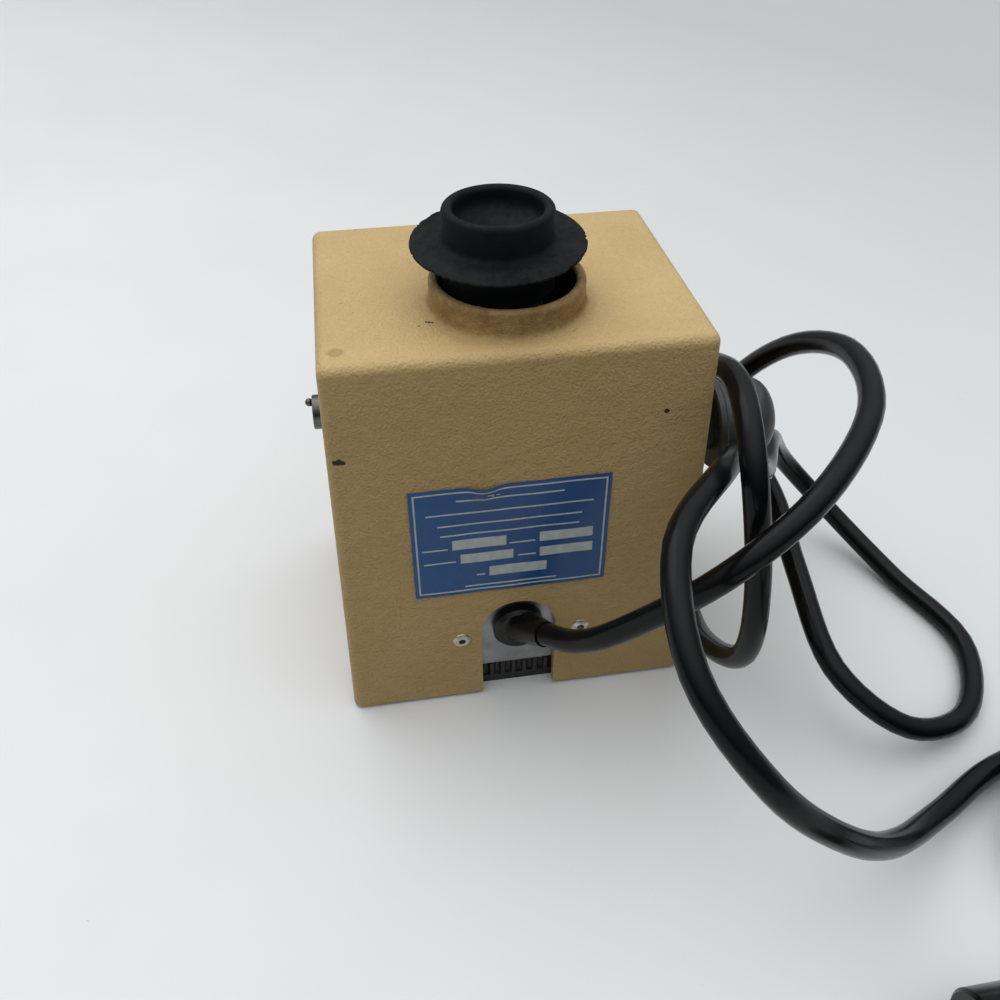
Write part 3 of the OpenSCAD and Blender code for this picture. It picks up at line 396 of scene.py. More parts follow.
def addBump(tree, shader, height, strength, distance, before=None):
    bump = tree.nodes.new("ShaderNodeBump")
    bump.inputs["Strength"].default_value = strength
    bump.inputs["Distance"].default_value = distance
    tree.links.new(height, bump.inputs["Height"])
    if before is not None:
        tree.links.new(before, bump.inputs["Normal"])
    tree.links.new(bump.outputs["Normal"], shader.inputs["Normal"])
    return bump.outputs["Normal"]


def makeFinish(name, spec):
    material, tree, shader, place = newMaterial(name)
    tone = useGroup(tree, "mottle", Vector=place, Light=spec["light"], Dark=spec["dark"],
                    Scale=spec["mottle"])["Color"]
    if spec["dust"]:
        tone = useGroup(tree, "dust", Vector=place, Color=tone, Dust=dustTone,
                        Amount=spec["dust"])["Color"]
    tree.links.new(tone, shader.inputs["Base Color"])
    gloss = useGroup(tree, "smudge", Vector=place, Smooth=spec["smooth"], Rough=spec["rough"])
    tree.links.new(gloss["Roughness"], shader.inputs["Roughness"])
    grain = useGroup(tree, "grain", Vector=place, Scale=spec["grain"])
    addBump(tree, shader, grain["Height"], 0.5, spec["depth"])
    shader.inputs["Metallic"].default_value = spec.get("metal", 0.0)
    shader.inputs["Specular IOR Level"].default_value = spec.get("specular", 0.5)
    return material


materials = {name: makeFinish(name, spec) for name, spec in finishes.items()}

# the enamel's tones hold painted shade in the pebble's hollows, painted highlight specks, and grime round
# the collar that is partly painted shade
enamelLook = {
    "light": (0.628, 0.452, 0.205), "dark": (0.565, 0.397, 0.172), "primer": (0.030, 0.010, 0.004),
    "stain": (0.26, 0.165, 0.070), "grimeAndShade": (0.215, 0.125, 0.038), "pitShade": (0.36, 0.25, 0.11),
    "peakHighlight": (0.72, 0.60, 0.36),
    "chips": [((0.0555, 0.0457, 0.1112), 0.0009), ((0.0543, 0.0457, 0.1114), 0.0011),
              ((0.0532, 0.0458, 0.1110), 0.0008), ((-0.0429, 0.0454, 0.1182), 0.0008),
              ((0.0252, 0.0235, 0.1420), 0.0004), ((0.0244, 0.0238, 0.1420), 0.0005),
              ((0.0235, 0.0242, 0.1421), 0.0004), ((0.0274, 0.0254, 0.1420), 0.0003)],
    "ring": ((0.0515, 0.036, 0.142), 0.0018), "specular": 0.32,
    "pitScale": 1150.0, "pitShadeShare": 0.2, "peakScale": 1700.0, "peakHighlightShare": 0.4,
    "collarY": 0.0144, "grimeAndShadeFrom": 0.0236, "grimeAndShadeTo": 0.0275, "grimeAndShadeLow": 0.1405,
    "grimeAndShadeHigh": 0.1435, "pebble": 0.9, "pebbleDepth": 0.0006, "chipDepth": 0.0003,
}


def makeEnamel(look):
    material, tree, shader, place = newMaterial("caseEnamel")
    tone = useGroup(tree, "mottle", Vector=place, Light=look["light"], Dark=look["dark"],
                    Scale=38, Low=0.3, High=0.7)["Color"]
    # painted shade: the enamel is darkened in the pebble's hollows, where the bump's noise is low
    pitShadeMask = rangeNode(tree, noiseNode(tree, place, look["pitScale"], 3.0, 0.6), 0.30, 0.52, 1.0, 0.0)
    tone = mixColor(tree, mathNode(tree, "MULTIPLY", pitShadeMask, look["pitShadeShare"]), tone, look["pitShade"])
    # painted highlight: scattered lighter specks stand in for glints on the pebbled enamel
    peakHighlightMask = rangeNode(tree, noiseNode(tree, place, look["peakScale"], 2.0, 0.5), 0.60, 0.74)
    tone = mixColor(tree, mathNode(tree, "MULTIPLY", peakHighlightMask, look["peakHighlightShare"]), tone, look["peakHighlight"])
    specks = rangeNode(tree, noiseNode(tree, place, 420.0, 2.0), 0.72, 0.77)
    tone = mixColor(tree, mathNode(tree, "MULTIPLY", specks, 0.5), tone, look["stain"])
    ring = useGroup(tree, "spot", Vector=place, Centre=look["ring"][0], Radius=look["ring"][1],
                    Ragged=0.15)
    tone = mixColor(tree, mathNode(tree, "MULTIPLY", ring["Mask"], 0.45), tone, look["stain"])
    tone = mixColor(tree, mathNode(tree, "MULTIPLY", ring["Rim"], 0.35), tone, look["stain"])
    # grime round the collar, where hands and spills reach; it is also painted shade, darkening the collar
    # and its foot, and more so on the -X side
    split = tree.nodes.new("ShaderNodeSeparateXYZ")
    tree.links.new(place, split.inputs[0])
    side = mathNode(tree, "SUBTRACT", split.outputs["Y"], look["collarY"])
    reach = mathNode(tree, "SQRT", mathNode(tree, "ADD", mathNode(tree, "POWER", split.outputs["X"], 2.0),
                                            mathNode(tree, "POWER", side, 2.0)))
    near = rangeNode(tree, reach, look["grimeAndShadeFrom"], look["grimeAndShadeTo"], 1.0, 0.0)
    above = rangeNode(tree, split.outputs["Z"], look["grimeAndShadeLow"], look["grimeAndShadeHigh"])
    cloud = rangeNode(tree, noiseNode(tree, place, 170.0, 6.0, 0.7), 0.30, 0.62, 0.45, 1.0)
    grimeAndShade = mathNode(tree, "MULTIPLY", mathNode(tree, "MULTIPLY", near, above), cloud)
    shaded = rangeNode(tree, split.outputs["X"], -0.022, 0.010, 1.0, 0.82)
    tone = mixColor(tree, mathNode(tree, "MULTIPLY", grimeAndShade, shaded), tone, look["grimeAndShade"])
    chipMask = None
    for centre, radius in look["chips"]:
        chip = useGroup(tree, "spot", Vector=place, Centre=centre, Radius=radius, Ragged=0.16)
        chipMask = chip["Mask"] if chipMask is None else mathNode(tree, "MAXIMUM", chipMask,
                                                                 chip["Mask"])
    tone = mixColor(tree, chipMask, tone, look["primer"])
    tree.links.new(tone, shader.inputs["Base Color"])
    gloss = useGroup(tree, "smudge", Vector=place, Scale=60.0, Smooth=0.42, Rough=0.58)
    tree.links.new(gloss["Roughness"], shader.inputs["Roughness"])
    pebble = useGroup(tree, "grain", Vector=place, Scale=look["pitScale"], Coarse=0.9)
    first = addBump(tree, shader, pebble["Height"], look["pebble"], look["pebbleDepth"])
    shader.inputs["Specular IOR Level"].default_value = look["specular"]
    sunk = mathNode(tree, "SUBTRACT", 1.0, chipMask)
    addBump(tree, shader, sunk, 0.8, look["chipDepth"], first)
    return material


materials["caseEnamel"] = makeEnamel(enamelLook)

slotFinish = {
    "case_enamel": "caseEnamel", "cup_rubber": "cupRubber", "pad_rubber": "padRubber",
    "black_plastic": "blackPlastic", "knob_plastic": "knobPlastic", "label_foil": "labelFoil",
    "zinc_steel": "zincSteel", "bright_chrome": "brightChrome", "rivet_metal": "rivetMetal",
    "lamination": "lamination", "bronze": "bronze", "copper": "copper",
    "cast_alloy": "castAlloy", "ground_steel": "groundSteel", "dark_steel": "darkSteel",
    "nylon": "nylon", "switch_case": "switchCase", "switch_red": "switchRed",
    "cord_pvc": "cordVinyl",
}

labelLook = {
    "blue": (0.005, 0.068, 0.245), "faded": (0.009, 0.098, 0.310), "ink": (0.56, 0.61, 0.63),
}


def makeLabelFoil(look):
    material, tree, shader, place = newMaterial("labelFoil")
    tone = useGroup(tree, "mottle", Vector=place, Light=look["blue"], Dark=look["faded"],
                    Scale=55, Low=0.4, High=0.75)["Color"]
    scuff = rangeNode(tree, noiseNode(tree, place, 1300.0, 5.0, 0.8), 0.66, 0.74)
    tone = mixColor(tree, mathNode(tree, "MULTIPLY", scuff, 0.5), tone, look["ink"])
    tree.links.new(tone, shader.inputs["Base Color"])
    gloss = useGroup(tree, "smudge", Vector=place, Smooth=0.26, Rough=0.42)
    tree.links.new(gloss["Roughness"], shader.inputs["Roughness"])
    grain = useGroup(tree, "grain", Vector=place, Scale=900.0)
    addBump(tree, shader, grain["Height"], 0.4, 0.00004)
    return material


materials["labelFoil"] = makeLabelFoil(labelLook)
materials["labelInk"] = makeFinish("labelInk", {
    "light": (0.62, 0.71, 0.68), "dark": (0.50, 0.58, 0.56), "mottle": 300, "smooth": 0.35,
    "rough": 0.5, "grain": 1500, "depth": 0.00002, "dust": 0.15})


slotOf = {part["node"]: part["material_slot"] for part in frame["record"]["subparts"]}


# ---- geometry node helpers ----
def newTree(name, inputs):
    tree = bpy.data.node_groups.new(name, "GeometryNodeTree")
    tree.is_modifier = True
    tree.interface.new_socket("Geometry", in_out="INPUT", socket_type="NodeSocketGeometry")
    for label, kind, value in inputs:
        socket = tree.interface.new_socket(label, in_out="INPUT", socket_type=kind)
        if value is not None:
            socket.default_value = value
    tree.interface.new_socket("Geometry", in_out="OUTPUT", socket_type="NodeSocketGeometry")
    return tree, tree.nodes.new("NodeGroupInput").outputs, tree.nodes.new("NodeGroupOutput").inputs


def addNode(tree, kind, given, **settings):
    node = tree.nodes.new(kind)
    for label, value in settings.items():
        setattr(node, label, value)
    for label, value in given.items():
        socket = node.inputs[label]
        if hasattr(value, "is_output"):
            tree.links.new(value, socket)
        else:
            socket.default_value = value
    return node.outputs


# welds the loose faces, shades smooth up to an edge angle and gives the finish
def finishTree(tree, geometry, angle, finish, weld=0.000002):
    welded = addNode(tree, "GeometryNodeMergeByDistance", {"Geometry": geometry, "Distance": weld})
    edge = addNode(tree, "GeometryNodeInputMeshEdgeAngle", {})
    sharp = addNode(tree, "FunctionNodeCompare", {0: edge["Unsigned Angle"], 1: angle},
                    data_type="FLOAT", operation="GREATER_THAN")
    faces = addNode(tree, "GeometryNodeSetShadeSmooth", {"Geometry": welded[0],
                                                         "Shade Smooth": True}, domain="FACE")
    edges = addNode(tree, "GeometryNodeSetShadeSmooth", {"Geometry": faces[0],
                    "Selection": sharp[0], "Shade Smooth": False}, domain="EDGE")
    real = addNode(tree, "GeometryNodeRealizeInstances", {"Geometry": edges[0]})
    return addNode(tree, "GeometryNodeSetMaterial", {"Geometry": real[0], "Material": finish})[0]


def makeSoftShade():
    tree, start, end = newTree("softShade", [("Angle", "NodeSocketFloat", 0.55),
                                             ("Finish", "NodeSocketMaterial", None)])
    done = finishTree(tree, start["Geometry"], start["Angle"], start["Finish"])
    tree.links.new(done, end["Geometry"])
    return tree


# turns a profile round the Z axis; the edge past "Ragged from" is nicked and droops
def makeTurned():
    tree, start, end = newTree("turned", [
        ("Profile points", "NodeSocketInt", 2), ("Sides", "NodeSocketInt", 96),
        ("Ragged", "NodeSocketFloat", 0.0), ("Ragged from", "NodeSocketFloat", 1.0),
        ("Ragged to", "NodeSocketFloat", 2.0), ("Droop", "NodeSocketFloat", 0.0),
        ("Droop turn", "NodeSocketFloat", 0.0), ("Seed", "NodeSocketFloat", 3.0),
        ("Angle", "NodeSocketFloat", 0.55), ("Finish", "NodeSocketMaterial", None)])
    across = mathNode(tree, "ADD", start["Sides"], 1)
    grid = addNode(tree, "GeometryNodeMeshGrid", {
        "Size X": 1.0, "Size Y": 1.0, "Vertices X": start["Profile points"], "Vertices Y": across})
    here = addNode(tree, "ShaderNodeSeparateXYZ", {"Vector": addNode(
        tree, "GeometryNodeInputPosition", {})[0]})
    last = mathNode(tree, "SUBTRACT", start["Profile points"], 1)
    index = mathNode(tree, "ROUND", mathNode(tree, "MULTIPLY", mathNode(
        tree, "ADD", here["X"], 0.5), last))
    turn = mathNode(tree, "MULTIPLY", mathNode(tree, "ADD", here["Y"], 0.5), 2 * math.pi)
    spot = addNode(tree, "GeometryNodeInputPosition", {})
    taken = addNode(tree, "GeometryNodeSampleIndex", {
        "Geometry": start["Geometry"], "Value": spot[0], "Index": index},
        data_type="FLOAT_VECTOR", domain="POINT")
    profile = addNode(tree, "ShaderNodeSeparateXYZ", {"Vector": taken[0]})
    cosine, sine = mathNode(tree, "COSINE", turn), mathNode(tree, "SINE", turn)
    circle = addNode(tree, "ShaderNodeCombineXYZ", {"X": cosine, "Y": sine, "Z": 0.0})
    nicks = addNode(tree, "ShaderNodeTexNoise", {
        "Vector": circle[0], "W": start["Seed"], "Scale": 14.0, "Detail": 5.0, "Roughness": 0.75},
        noise_dimensions="4D")
    bite = rangeNode(tree, nicks[0], 0.52, 0.72)
    edge = rangeNode(tree, profile["X"], start["Ragged from"], start["Ragged to"])
    loss = mathNode(tree, "MULTIPLY", mathNode(tree, "MULTIPLY", bite, edge), start["Ragged"])
    radius = mathNode(tree, "SUBTRACT", profile["X"], loss)
    lean = mathNode(tree, "COSINE", mathNode(tree, "SUBTRACT", turn, start["Droop turn"]))
    drop = mathNode(tree, "MULTIPLY", mathNode(tree, "MULTIPLY", edge, lean), start["Droop"])
    place = addNode(tree, "ShaderNodeCombineXYZ", {
        "X": mathNode(tree, "MULTIPLY", radius, cosine),
        "Y": mathNode(tree, "MULTIPLY", radius, sine),
        "Z": mathNode(tree, "SUBTRACT", profile["Z"], drop)})
    moved = addNode(tree, "GeometryNodeSetPosition", {"Geometry": grid["Mesh"],
                                                      "Position": place[0]})
    tree.links.new(finishTree(tree, moved[0], start["Angle"], start["Finish"]), end["Geometry"])
    return tree


# sets one turned head on each point of a mesh, along its "way" attribute
def makeStudded():
    tree, start, end = newTree("studded", [
        ("Head", "NodeSocketObject", None), ("Angle", "NodeSocketFloat", 0.55),
        ("Finish", "NodeSocketMaterial", None)])
    points = addNode(tree, "GeometryNodeMeshToPoints", {"Mesh": start["Geometry"]})
    head = addNode(tree, "GeometryNodeObjectInfo", {"Object": start["Head"]})
    way = addNode(tree, "GeometryNodeInputNamedAttribute", {"Name": "way"},
                  data_type="FLOAT_VECTOR")
    turned = addNode(tree, "FunctionNodeAlignRotationToVector", {"Vector": way[0]}, axis="Z")
    placed = addNode(tree, "GeometryNodeInstanceOnPoints", {
        "Points": points[0], "Instance": head["Geometry"], "Rotation": turned[0]})
    real = addNode(tree, "GeometryNodeRealizeInstances", {"Geometry": placed[0]})
    tree.links.new(finishTree(tree, real[0], start["Angle"], start["Finish"], 0.0000005),
                   end["Geometry"])
    return tree


trees = {"softShade": makeSoftShade(), "turned": makeTurned(), "studded": makeStudded()}


def addTree(piece, name, **given):
    modifier = piece.modifiers.new(name, "NODES")
    modifier.node_group = trees[name]
    sockets = {item.name: item.identifier for item in trees[name].interface.items_tree
               if item.in_out == "INPUT"}
    for label, value in given.items():
        modifier[sockets[label.replace("_", " ")]] = value
    return modifier


# the evaluated mesh takes the place of the modifiers
def settle(piece):
    bpy.context.view_layer.update()
    graph = bpy.context.evaluated_depsgraph_get()
    mesh = bpy.data.meshes.new_from_object(piece.evaluated_get(graph))
    piece.modifiers.clear()
    piece.data = mesh
    return piece


def newPiece(name, points, edges=(), faces=()):
    mesh = bpy.data.meshes.new(name)
    mesh.from_pydata([tuple(point) for point in points], list(edges), list(faces))
    piece = bpy.data.objects.new(name, mesh)
    bpy.context.collection.objects.link(piece)
    return piece


def turnedPiece(name, profile, finish, **given):
    points = [(r * 0.001, 0, z * 0.001) for r, z in profile]
    piece = newPiece(name, points, [(i, i + 1) for i in range(len(points) - 1)])
    addTree(piece, "turned", Profile_points=len(points), Finish=materials[finish], **given)
    return settle(piece)


def arc(x, z, radius, first, last, steps):
    return [(x + radius * math.cos(math.radians(first + (last - first) * i / steps)),
             z + radius * math.sin(math.radians(first + (last - first) * i / steps)))
            for i in range(steps + 1)]


mainsCord.data.materials.append(materials["cordVinyl"])
for name, node in nodes.items():
    finish = materials[slotFinish[slotOf[name]]]
    node.data.materials.clear()
    node.data.materials.append(finish)
    addTree(node, "softShade", Finish=finish)
print("finishes built and given to the CAD nodes")

# the return spring is given its own copy of its mesh
def closeSpring():
    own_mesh(nodes["return_spring"])


closeSpring()

# ---- case ----
caseShape = {"width": 122, "depth": 97, "lift": 1.5, "draft": 1.54,
             "top": 142, "skinRound": 6, "cornerRound": 3.2, "edgeRound": 0.35, "edgeSteps": 2,
             "sharpFrom": 42, "smoothUpTo": 34}


# the back wall's frame: across to +X, out of the wall, up along it, in millimetres
def backWall(across, out, up):
    lean = math.radians(caseShape["draft"])
    return Vector((across, caseShape["depth"] / 2 + out * math.cos(lean) - up * math.sin(lean),
                   caseShape["lift"] + out * math.sin(lean) + up * math.cos(lean))) * 0.001


# tightens the casting's outer corners without moving its flat sides
def tighterCorner(shape, point):
    wide, tight = shape["skinRound"], shape["cornerRound"]

    def half(size, z, radius):
        level = min(z, shape["top"] - radius) - shape["lift"]
        return size / 2 - level * math.tan(math.radians(shape["draft"]))

    sizes = (shape["width"], shape["depth"])
    x, y, z = point * 1000
    past = [abs(x) - half(sizes[0], z, wide) + wide, abs(y) - half(sizes[1], z, wide) + wide,
            z - shape["top"] + wide]
    reach = math.sqrt(sum(max(value, 0) ** 2 for value in past))
    if abs(reach - wide) > 0.12 or past[2] > wide + 0.01 or sum(v > -0.01 for v in past) < 2:
        return point
    past = [wide - tight + v * tight / wide if v > -0.01 else v for v in past]
    z = shape["top"] - wide + past[2]
    return Vector((math.copysign(half(sizes[0], z, tight) - wide + past[0], x),
                   math.copysign(half(sizes[1], z, tight) - wide + past[1], y), z)) * 0.001


def makeCase(shape):
    source = nodes["housing"]
    mesh = bpy.data.meshes.new("enamelCase")
    work = bmesh.new()
    work.from_mesh(source.data)
    bmesh.ops.remove_doubles(work, verts=work.verts, dist=0.000003)
    bmesh.ops.dissolve_limit(work, angle_limit=math.radians(0.6), verts=work.verts,
                             edges=work.edges)
    for corner in work.verts:
        corner.co = tighterCorner(shape, corner.co)
    work.normal_update()
    probe = BVHTree.FromBMesh(work)
    # faces inside the case, in its collar bore and under its top get the near-black inside finish, which
    # is painted shade
    for face in work.faces:
        middle, way = face.calc_center_median(), face.normal
        struck = probe.ray_cast(middle + way * 0.0002, way)[3]
        ceiling = way.z < -0.5 and middle.z > 0.02
        face.material_index = 1 if ceiling or (struck is not None and struck > 0.03) else 0
        face.smooth = True
    work.to_mesh(mesh)
    work.free()
    piece = bpy.data.objects.new("enamelCase", mesh)
    bpy.context.collection.objects.link(piece)
    mesh.materials.append(materials["caseEnamel"])
    mesh.materials.append(materials["insideShade"])
    bevel = piece.modifiers.new("edges", "BEVEL")
    bevel.width, bevel.segments = shape["edgeRound"] * 0.001, shape["edgeSteps"]
    bevel.limit_method, bevel.angle_limit = "ANGLE", math.radians(shape["sharpFrom"])
    bevel.use_clamp_overlap, bevel.harden_normals = True, False
    settle(piece)
    piece.data.set_sharp_from_angle(angle=math.radians(shape["smoothUpTo"]))
    # the broad walls rule the normals, so that they shade flat beside the small rounds
    flatten = piece.modifiers.new("flatWalls", "WEIGHTED_NORMAL")
    flatten.mode, flatten.weight, flatten.keep_sharp = "FACE_AREA", 100, True
    settle(piece)
    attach(piece, "case")
    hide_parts("housing")
    print("case:", len(piece.data.polygons), "faces")
    return piece


makeCase(caseShape)

# ---- rubber cup ----
cupShape = {"rimZ": 170.9, "rimR": 16.3, "mouthR": 13.0, "flangeZ": 160.8, "flangeR": 25.7,
            "root": 1.9, "wallFoot": 5.6, "depth": 8.6, "neckR": 16.8,
            "neckZ": 146.5, "hubR": 13.45, "hubZ": 156.65, "nicks": 1.9, "droop": 1.1}


def cupProfile(c):
    lip = (c["rimR"] - c["mouthR"]) / 2
    foot = c["rimZ"] - c["wallFoot"]
    centre = c["rimZ"] - c["depth"]
    under = c["flangeZ"] - 2.4
    return ([(0, centre), (3, centre + 0.1), (6, centre + 0.5), (8.5, centre + 1.2),
             (10.4, foot - 0.8), (c["mouthR"] - 0.9, foot - 0.2), (c["mouthR"] - 0.1, foot + 0.7),
             (c["mouthR"] + 0.15, c["rimZ"] - 3.2)]
            + arc(c["mouthR"] + lip, c["rimZ"] - lip, lip, 170, 10, 10)
            + [(c["rimR"] - 0.15, c["rimZ"] - 4)]
            + arc(c["rimR"] + c["root"] - 0.2, c["flangeZ"] + c["root"], c["root"], 184, 268, 6)
            + [(20, c["flangeZ"] - 0.05), (22, c["flangeZ"] - 0.15), (24, c["flangeZ"] - 0.25),
               (c["flangeR"] - 0.5, c["flangeZ"] - 0.32)]
            + arc(c["flangeR"] - 0.35, c["flangeZ"] - 0.7, 0.35, 70, -70, 4)
            + [(24, under + 0.9), (c["neckR"] + 3, under + 0.1)]
            + arc(c["neckR"] + 1.5, under - 1.5, 1.5, 90, 180, 5)
            + [(c["neckR"], c["neckZ"] + 0.8), (c["neckR"] - 0.8, c["neckZ"]),
               (c["hubR"], c["neckZ"]), (c["hubR"], c["hubZ"]), (0, c["hubZ"])])


def centreOf(name):
    low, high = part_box(name)
    return Vector([(a + b) / 2 for a, b in zip(low, high)])


def makeCup(shape):
    piece = turnedPiece("rubberCup", cupProfile(shape), "cupRubber", Sides=192,
                        Ragged=shape["nicks"] * 0.001, Ragged_from=0.0232, Ragged_to=0.0253,
                        Droop=shape["droop"] * 0.001, Droop_turn=math.radians(78), Angle=0.7)
    pin = centreOf("rubber_cup")
    piece.data.transform(Matrix.Translation((pin.x, pin.y, 0)))
    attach(piece, "head")
    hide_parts("rubber_cup")
    return piece


makeCup(cupShape)
print("cup turned")

# ---- blind rivets ----
rivetShape = {"across": 21, "up": 28.4, "flange": 3.2, "dome": 0.95, "hole": 1.15, "sink": 1.7}


def makeRivets(shape):
    r, d = shape["flange"], shape["dome"]
    head = turnedPiece("rivetHead", [
        (0, -shape["sink"]), (shape["hole"], -shape["sink"]), (shape["hole"], d - 0.35),
        (shape["hole"] + 0.12, d - 0.08), (shape["hole"] + 0.45, d), (r * 0.6, d - 0.1),
        (r * 0.82, d - 0.35), (r - 0.12, 0.32), (r, 0.12), (r - 0.05, 0), (1.6, 0), (1.6, -5.0),
        (2.4, -5.6), (1.9, -7.6), (0, -7.6)], "rivetMetal", Sides=48, Angle=0.9)
    head.data.materials.append(materials["rivetMetal"])
    spots, ways = [], []
    for side in (1, -1):
        for across in (-shape["across"], shape["across"]):
            spot = backWall(across, 0.02, shape["up"])
            ahead = backWall(across, 1.02, shape["up"]) - spot
            spots.append((spot.x, side * spot.y, spot.z))
            ways.append((ahead.x, side * ahead.y, ahead.z))
    piece = newPiece("blindRivets", spots)
    way = piece.data.attributes.new("way", "FLOAT_VECTOR", "POINT")
    for item, given in zip(way.data, ways):
        item.vector = Vector(given).normalized()
    addTree(piece, "studded", Head=head, Finish=materials["rivetMetal"], Angle=0.9)
    settle(piece)
    bpy.data.objects.remove(head)
    # the hole in each hollow head and the broken-off mandrel at its floor get a near-black finish, which
    # is painted shade in the hole
    piece.data.materials.append(materials["mandrelShade"])
    for face in piece.data.polygons:
        for spot, given in zip(spots, ways):
            away = (face.center - Vector(spot)) * 1000
            along = away.dot(Vector(given).normalized())
            if (-shape["sink"] - 0.05 < along < d - 0.3
                    and (away - Vector(given).normalized() * along).length < shape["hole"] + 0.03):
                face.material_index = 1
    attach(piece, "case")
    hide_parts("case_rivets")
    return piece


makeRivets(rivetShape)
print("rivets set")

# ---- rating plate, its fields left blank ----
plateShape = {"width": 63.5, "height": 44.5, "across": 3.9, "up": 73.7, "step": 0.75,
              "thick": 0.25, "dentAt": 24.0, "dentWidth": 4.2, "dentDeep": 1.05,
              "ripple": 0.28}
plateMarks = {
    "border": 1.25, "line": 0.55,
    "fields": [(12.8, 20.7, 17.4, 4.0), (41.1, 21.0, 17.4, 3.9), (15.3, 27.0, 17.2, 3.8),
               (41.2, 27.4, 17.5, 3.8), (24.6, 33.5, 19.0, 4.0)],
    "rules": [(14.6, 4.6, 34.0), (5.0, 9.6, 53.0), (8.4, 14.2, 46.2), (9.2, 18.2, 44.6),
              (3.2, 23.9, 8.2), (31.2, 23.9, 8.4), (3.4, 29.6, 10.4), (34.0, 29.6, 6.0),
              (20.4, 36.2, 2.8), (16.4, 41.0, 30.6)],
    "scuffs": [(24.4, 3.0, 2.0, 0.45), (27.2, 3.4, 1.1, 0.4), (25.6, 3.7, 0.9, 0.3)],
}


# how far the plate stands off the wall at a point, from its top left corner
def plateSwell(shape, u, v):
    dent = math.exp(-((u - shape["dentAt"]) / shape["dentWidth"]) ** 2 - (v / 3.2) ** 2)
    fold = math.exp(-((u - 0.75 * v - 20) / 1.6) ** 2) * math.exp(-(v / 7) ** 2)
    wave = math.sin(u * 0.31 + 1.3) * math.sin(v * 0.23 + 0.4)
    return shape["thick"] + 0.9 * dent + 0.35 * fold + shape["ripple"] * 0.35 * (wave + 1)


def platePoint(shape, u, v, off=0.0):
    pull = shape["dentDeep"] * math.exp(-((u - shape["dentAt"]) / (0.8 * shape["dentWidth"])) ** 2)
    sunk = v + pull * max(0.0, 1 - v / 6)
    across = shape["across"] + shape["width"] / 2 - u
    up = shape["up"] + shape["height"] / 2 - sunk
    return backWall(across, 0.03 + plateSwell(shape, u, v) + off, up)


def sheetOver(name, shape, u0, v0, wide, high, lift, thick, finish):
    across, down = max(1, round(wide / shape["step"])), max(1, round(high / shape["step"]))
    points, faces = [], []
    for j in range(down + 1):
        for i in range(across + 1):
            points.append(platePoint(shape, u0 + wide * i / across, v0 + high * j / down, lift))
    for j in range(down):
        for i in range(across):
            k = j * (across + 1) + i
            faces.append((k, k + across + 1, k + across + 2, k + 1))
    piece = newPiece(name, points, faces=faces)
    piece.data.materials.append(materials[finish])
    solid = piece.modifiers.new("thickness", "SOLIDIFY")
    solid.thickness, solid.offset = thick * 0.001, -1
    settle(piece)
    for face in piece.data.polygons:
        face.use_smooth = True
    piece.data.set_sharp_from_angle(angle=math.radians(40))
    return piece


def joined(name, parts):
    work = bmesh.new()
    for part in parts:
        work.from_mesh(part.data)
    mesh = bpy.data.meshes.new(name)
    work.to_mesh(mesh)
    work.free()
    for material in parts[0].data.materials:
        mesh.materials.append(material)
    piece = bpy.data.objects.new(name, mesh)
    bpy.context.collection.objects.link(piece)
    for part in parts:
        bpy.data.objects.remove(part)
    return piece


def makePlate(shape, marks):
    foil = sheetOver("ratingFoil", shape, 0, 0, shape["width"], shape["height"], 0, 0.2,
                     "labelFoil")
    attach(foil, "case")
    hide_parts("rating_plate")
    inset, line = marks["border"], marks["line"]
    wide, high = shape["width"] - 2 * inset, shape["height"] - 2 * inset
    strips = [(inset, inset, wide, line), (inset, inset + high - line, wide, line),
              (inset, inset + line, line, high - 2 * line),
              (inset + wide - line, inset + line, line, high - 2 * line)]
    strips += list(marks["fields"])
    strips += marks["scuffs"] + [(u, v, wide, 0.55) for u, v, wide in marks["rules"]]
    parts = [sheetOver("mark", shape, *strip, 0.045, 0.04, "labelInk") for strip in strips]
    ink = joined("ratingMarks", parts)
    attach(ink, "case")


makePlate(plateShape, plateMarks)
print("plate made")

# ---- floor and light ----
studio = {
    "floorSize": 6.0, "floorSeen": (0.80, 0.81, 0.81), "floorPaintedShade": (0.54, 0.56, 0.565),
    "floorLit": (0.165, 0.140, 0.112),
    "skyTop": 1.55, "skySide": 0.26, "skyFront": 0.02, "skySeen": (0.62, 0.64, 0.65),
    "key": 2.5,
}


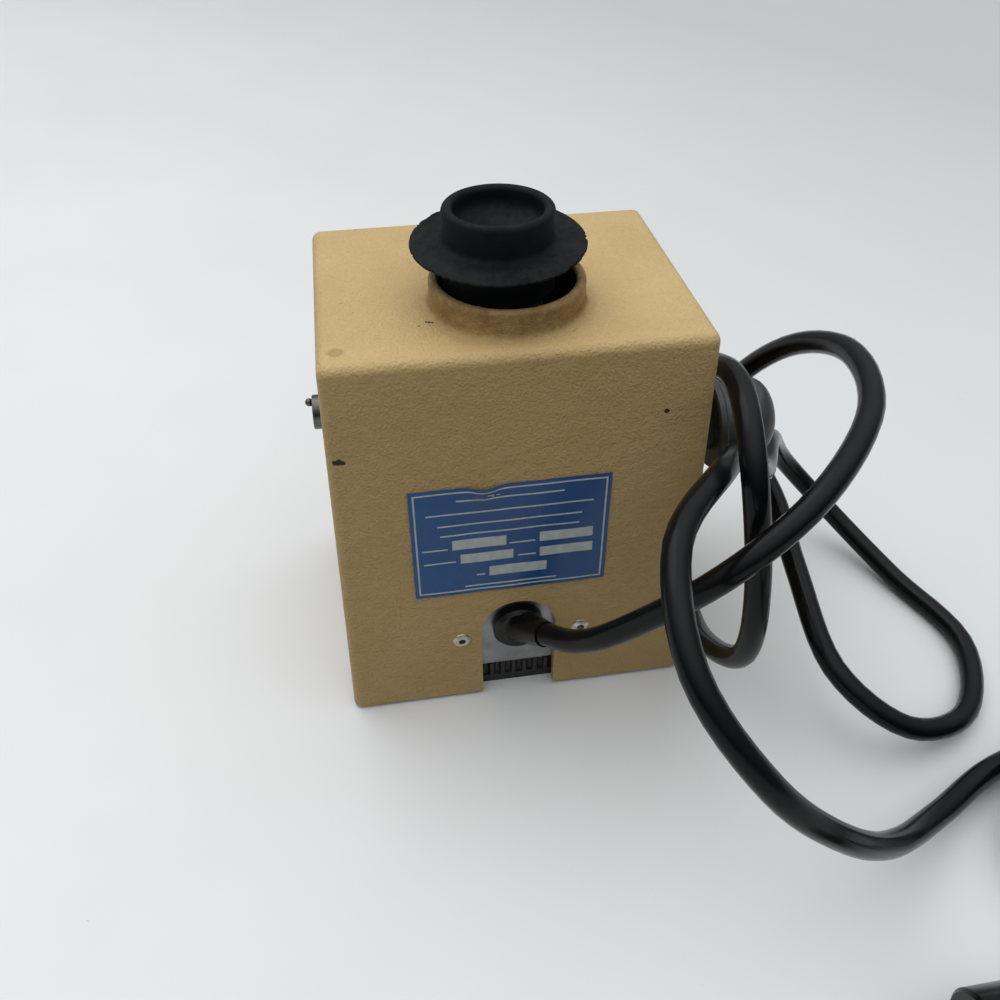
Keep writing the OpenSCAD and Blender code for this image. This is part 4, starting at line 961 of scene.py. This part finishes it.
def addStage(look):
    size = look["floorSize"]
    floor = newPiece("floor", [(-size, -size, 0), (size, -size, 0), (size, size, 0),
                               (-size, size, 0)], faces=[(0, 1, 2, 3)])
    material, tree, shader, place = newMaterial("benchTop")
    seen = useGroup(tree, "mottle", Vector=place, Light=look["floorSeen"],
                    Dark=tuple(0.93 * c for c in look["floorSeen"]), Scale=4, Low=0.3, High=0.7)
    # painted shade: the floor darkens towards -X and -Y, standing in for the light falling off there
    spread = tree.nodes.new("ShaderNodeSeparateXYZ")
    tree.links.new(place, spread.inputs[0])
    away = mathNode(tree, "ADD", mathNode(tree, "MULTIPLY", spread.outputs["X"], -0.8),
                    mathNode(tree, "MULTIPLY", spread.outputs["Y"], -0.55))
    tone = mixColor(tree, rangeNode(tree, away, -0.05, 0.75), seen["Color"], look["floorPaintedShade"])
    specks = rangeNode(tree, noiseNode(tree, place, 260.0, 2.0), 0.77, 0.80)
    tone = mixColor(tree, mathNode(tree, "MULTIPLY", specks, 0.35), tone, (0.30, 0.29, 0.27))
    path = tree.nodes.new("ShaderNodeLightPath")
    shown = mathNode(tree, "MAXIMUM", path.outputs["Is Camera Ray"],
                     path.outputs["Is Glossy Ray"])
    shown = mathNode(tree, "MAXIMUM", shown, path.outputs["Is Transmission Ray"])
    tree.links.new(mixColor(tree, shown, look["floorLit"], tone), shader.inputs["Base Color"])
    gloss = useGroup(tree, "smudge", Vector=place, Scale=20.0, Smooth=0.45, Rough=0.6)
    tree.links.new(gloss["Roughness"], shader.inputs["Roughness"])
    floor.data.materials.append(material)


# a soft sky: bright overhead, dimmer to the sides, dimmest where the viewer stands
def addSky(look):
    world = bpy.data.worlds.new("world")
    bpy.context.scene.world = world
    world.use_nodes = True
    tree = world.node_tree
    way = tree.nodes.new("ShaderNodeSeparateXYZ")
    tree.links.new(tree.nodes.new("ShaderNodeTexCoord").outputs["Generated"], way.inputs[0])
    above = mathNode(tree, "MULTIPLY", mathNode(tree, "POWER", rangeNode(
        tree, way.outputs["Z"], 0.0, 1.0), 1.9), look["skyTop"])
    side = rangeNode(tree, way.outputs["Y"], -0.3, 0.75, look["skySide"], look["skyFront"])
    strength = mathNode(tree, "ADD", above, side)
    path = tree.nodes.new("ShaderNodeLightPath").outputs["Is Camera Ray"]
    back = tree.nodes["Background"]
    tree.links.new(mixColor(tree, path, (0.97, 0.985, 1.0), look["skySeen"]),
                   back.inputs["Color"])
    apart = mathNode(tree, "MULTIPLY", strength, mathNode(tree, "SUBTRACT", 1.0, path))
    tree.links.new(mathNode(tree, "ADD", apart, path), back.inputs["Strength"])


def addLamp(name, place, target, size, power, tone=(1, 1, 1)):
    data = bpy.data.lights.new(name, "AREA")
    data.shape, data.size, data.energy, data.color = "DISK", size, power, tone
    lamp = bpy.data.objects.new(name, data)
    bpy.context.collection.objects.link(lamp)
    lamp.location = place
    lamp.rotation_euler = (Vector(target) - Vector(place)).to_track_quat("-Z", "Y").to_euler()


addStage(studio)
addSky(studio)
addLamp("keyLamp", (0.45, -0.55, 1.2), (0, 0, 0.1), 1.1, studio["key"])
print("stage and lamps placed")
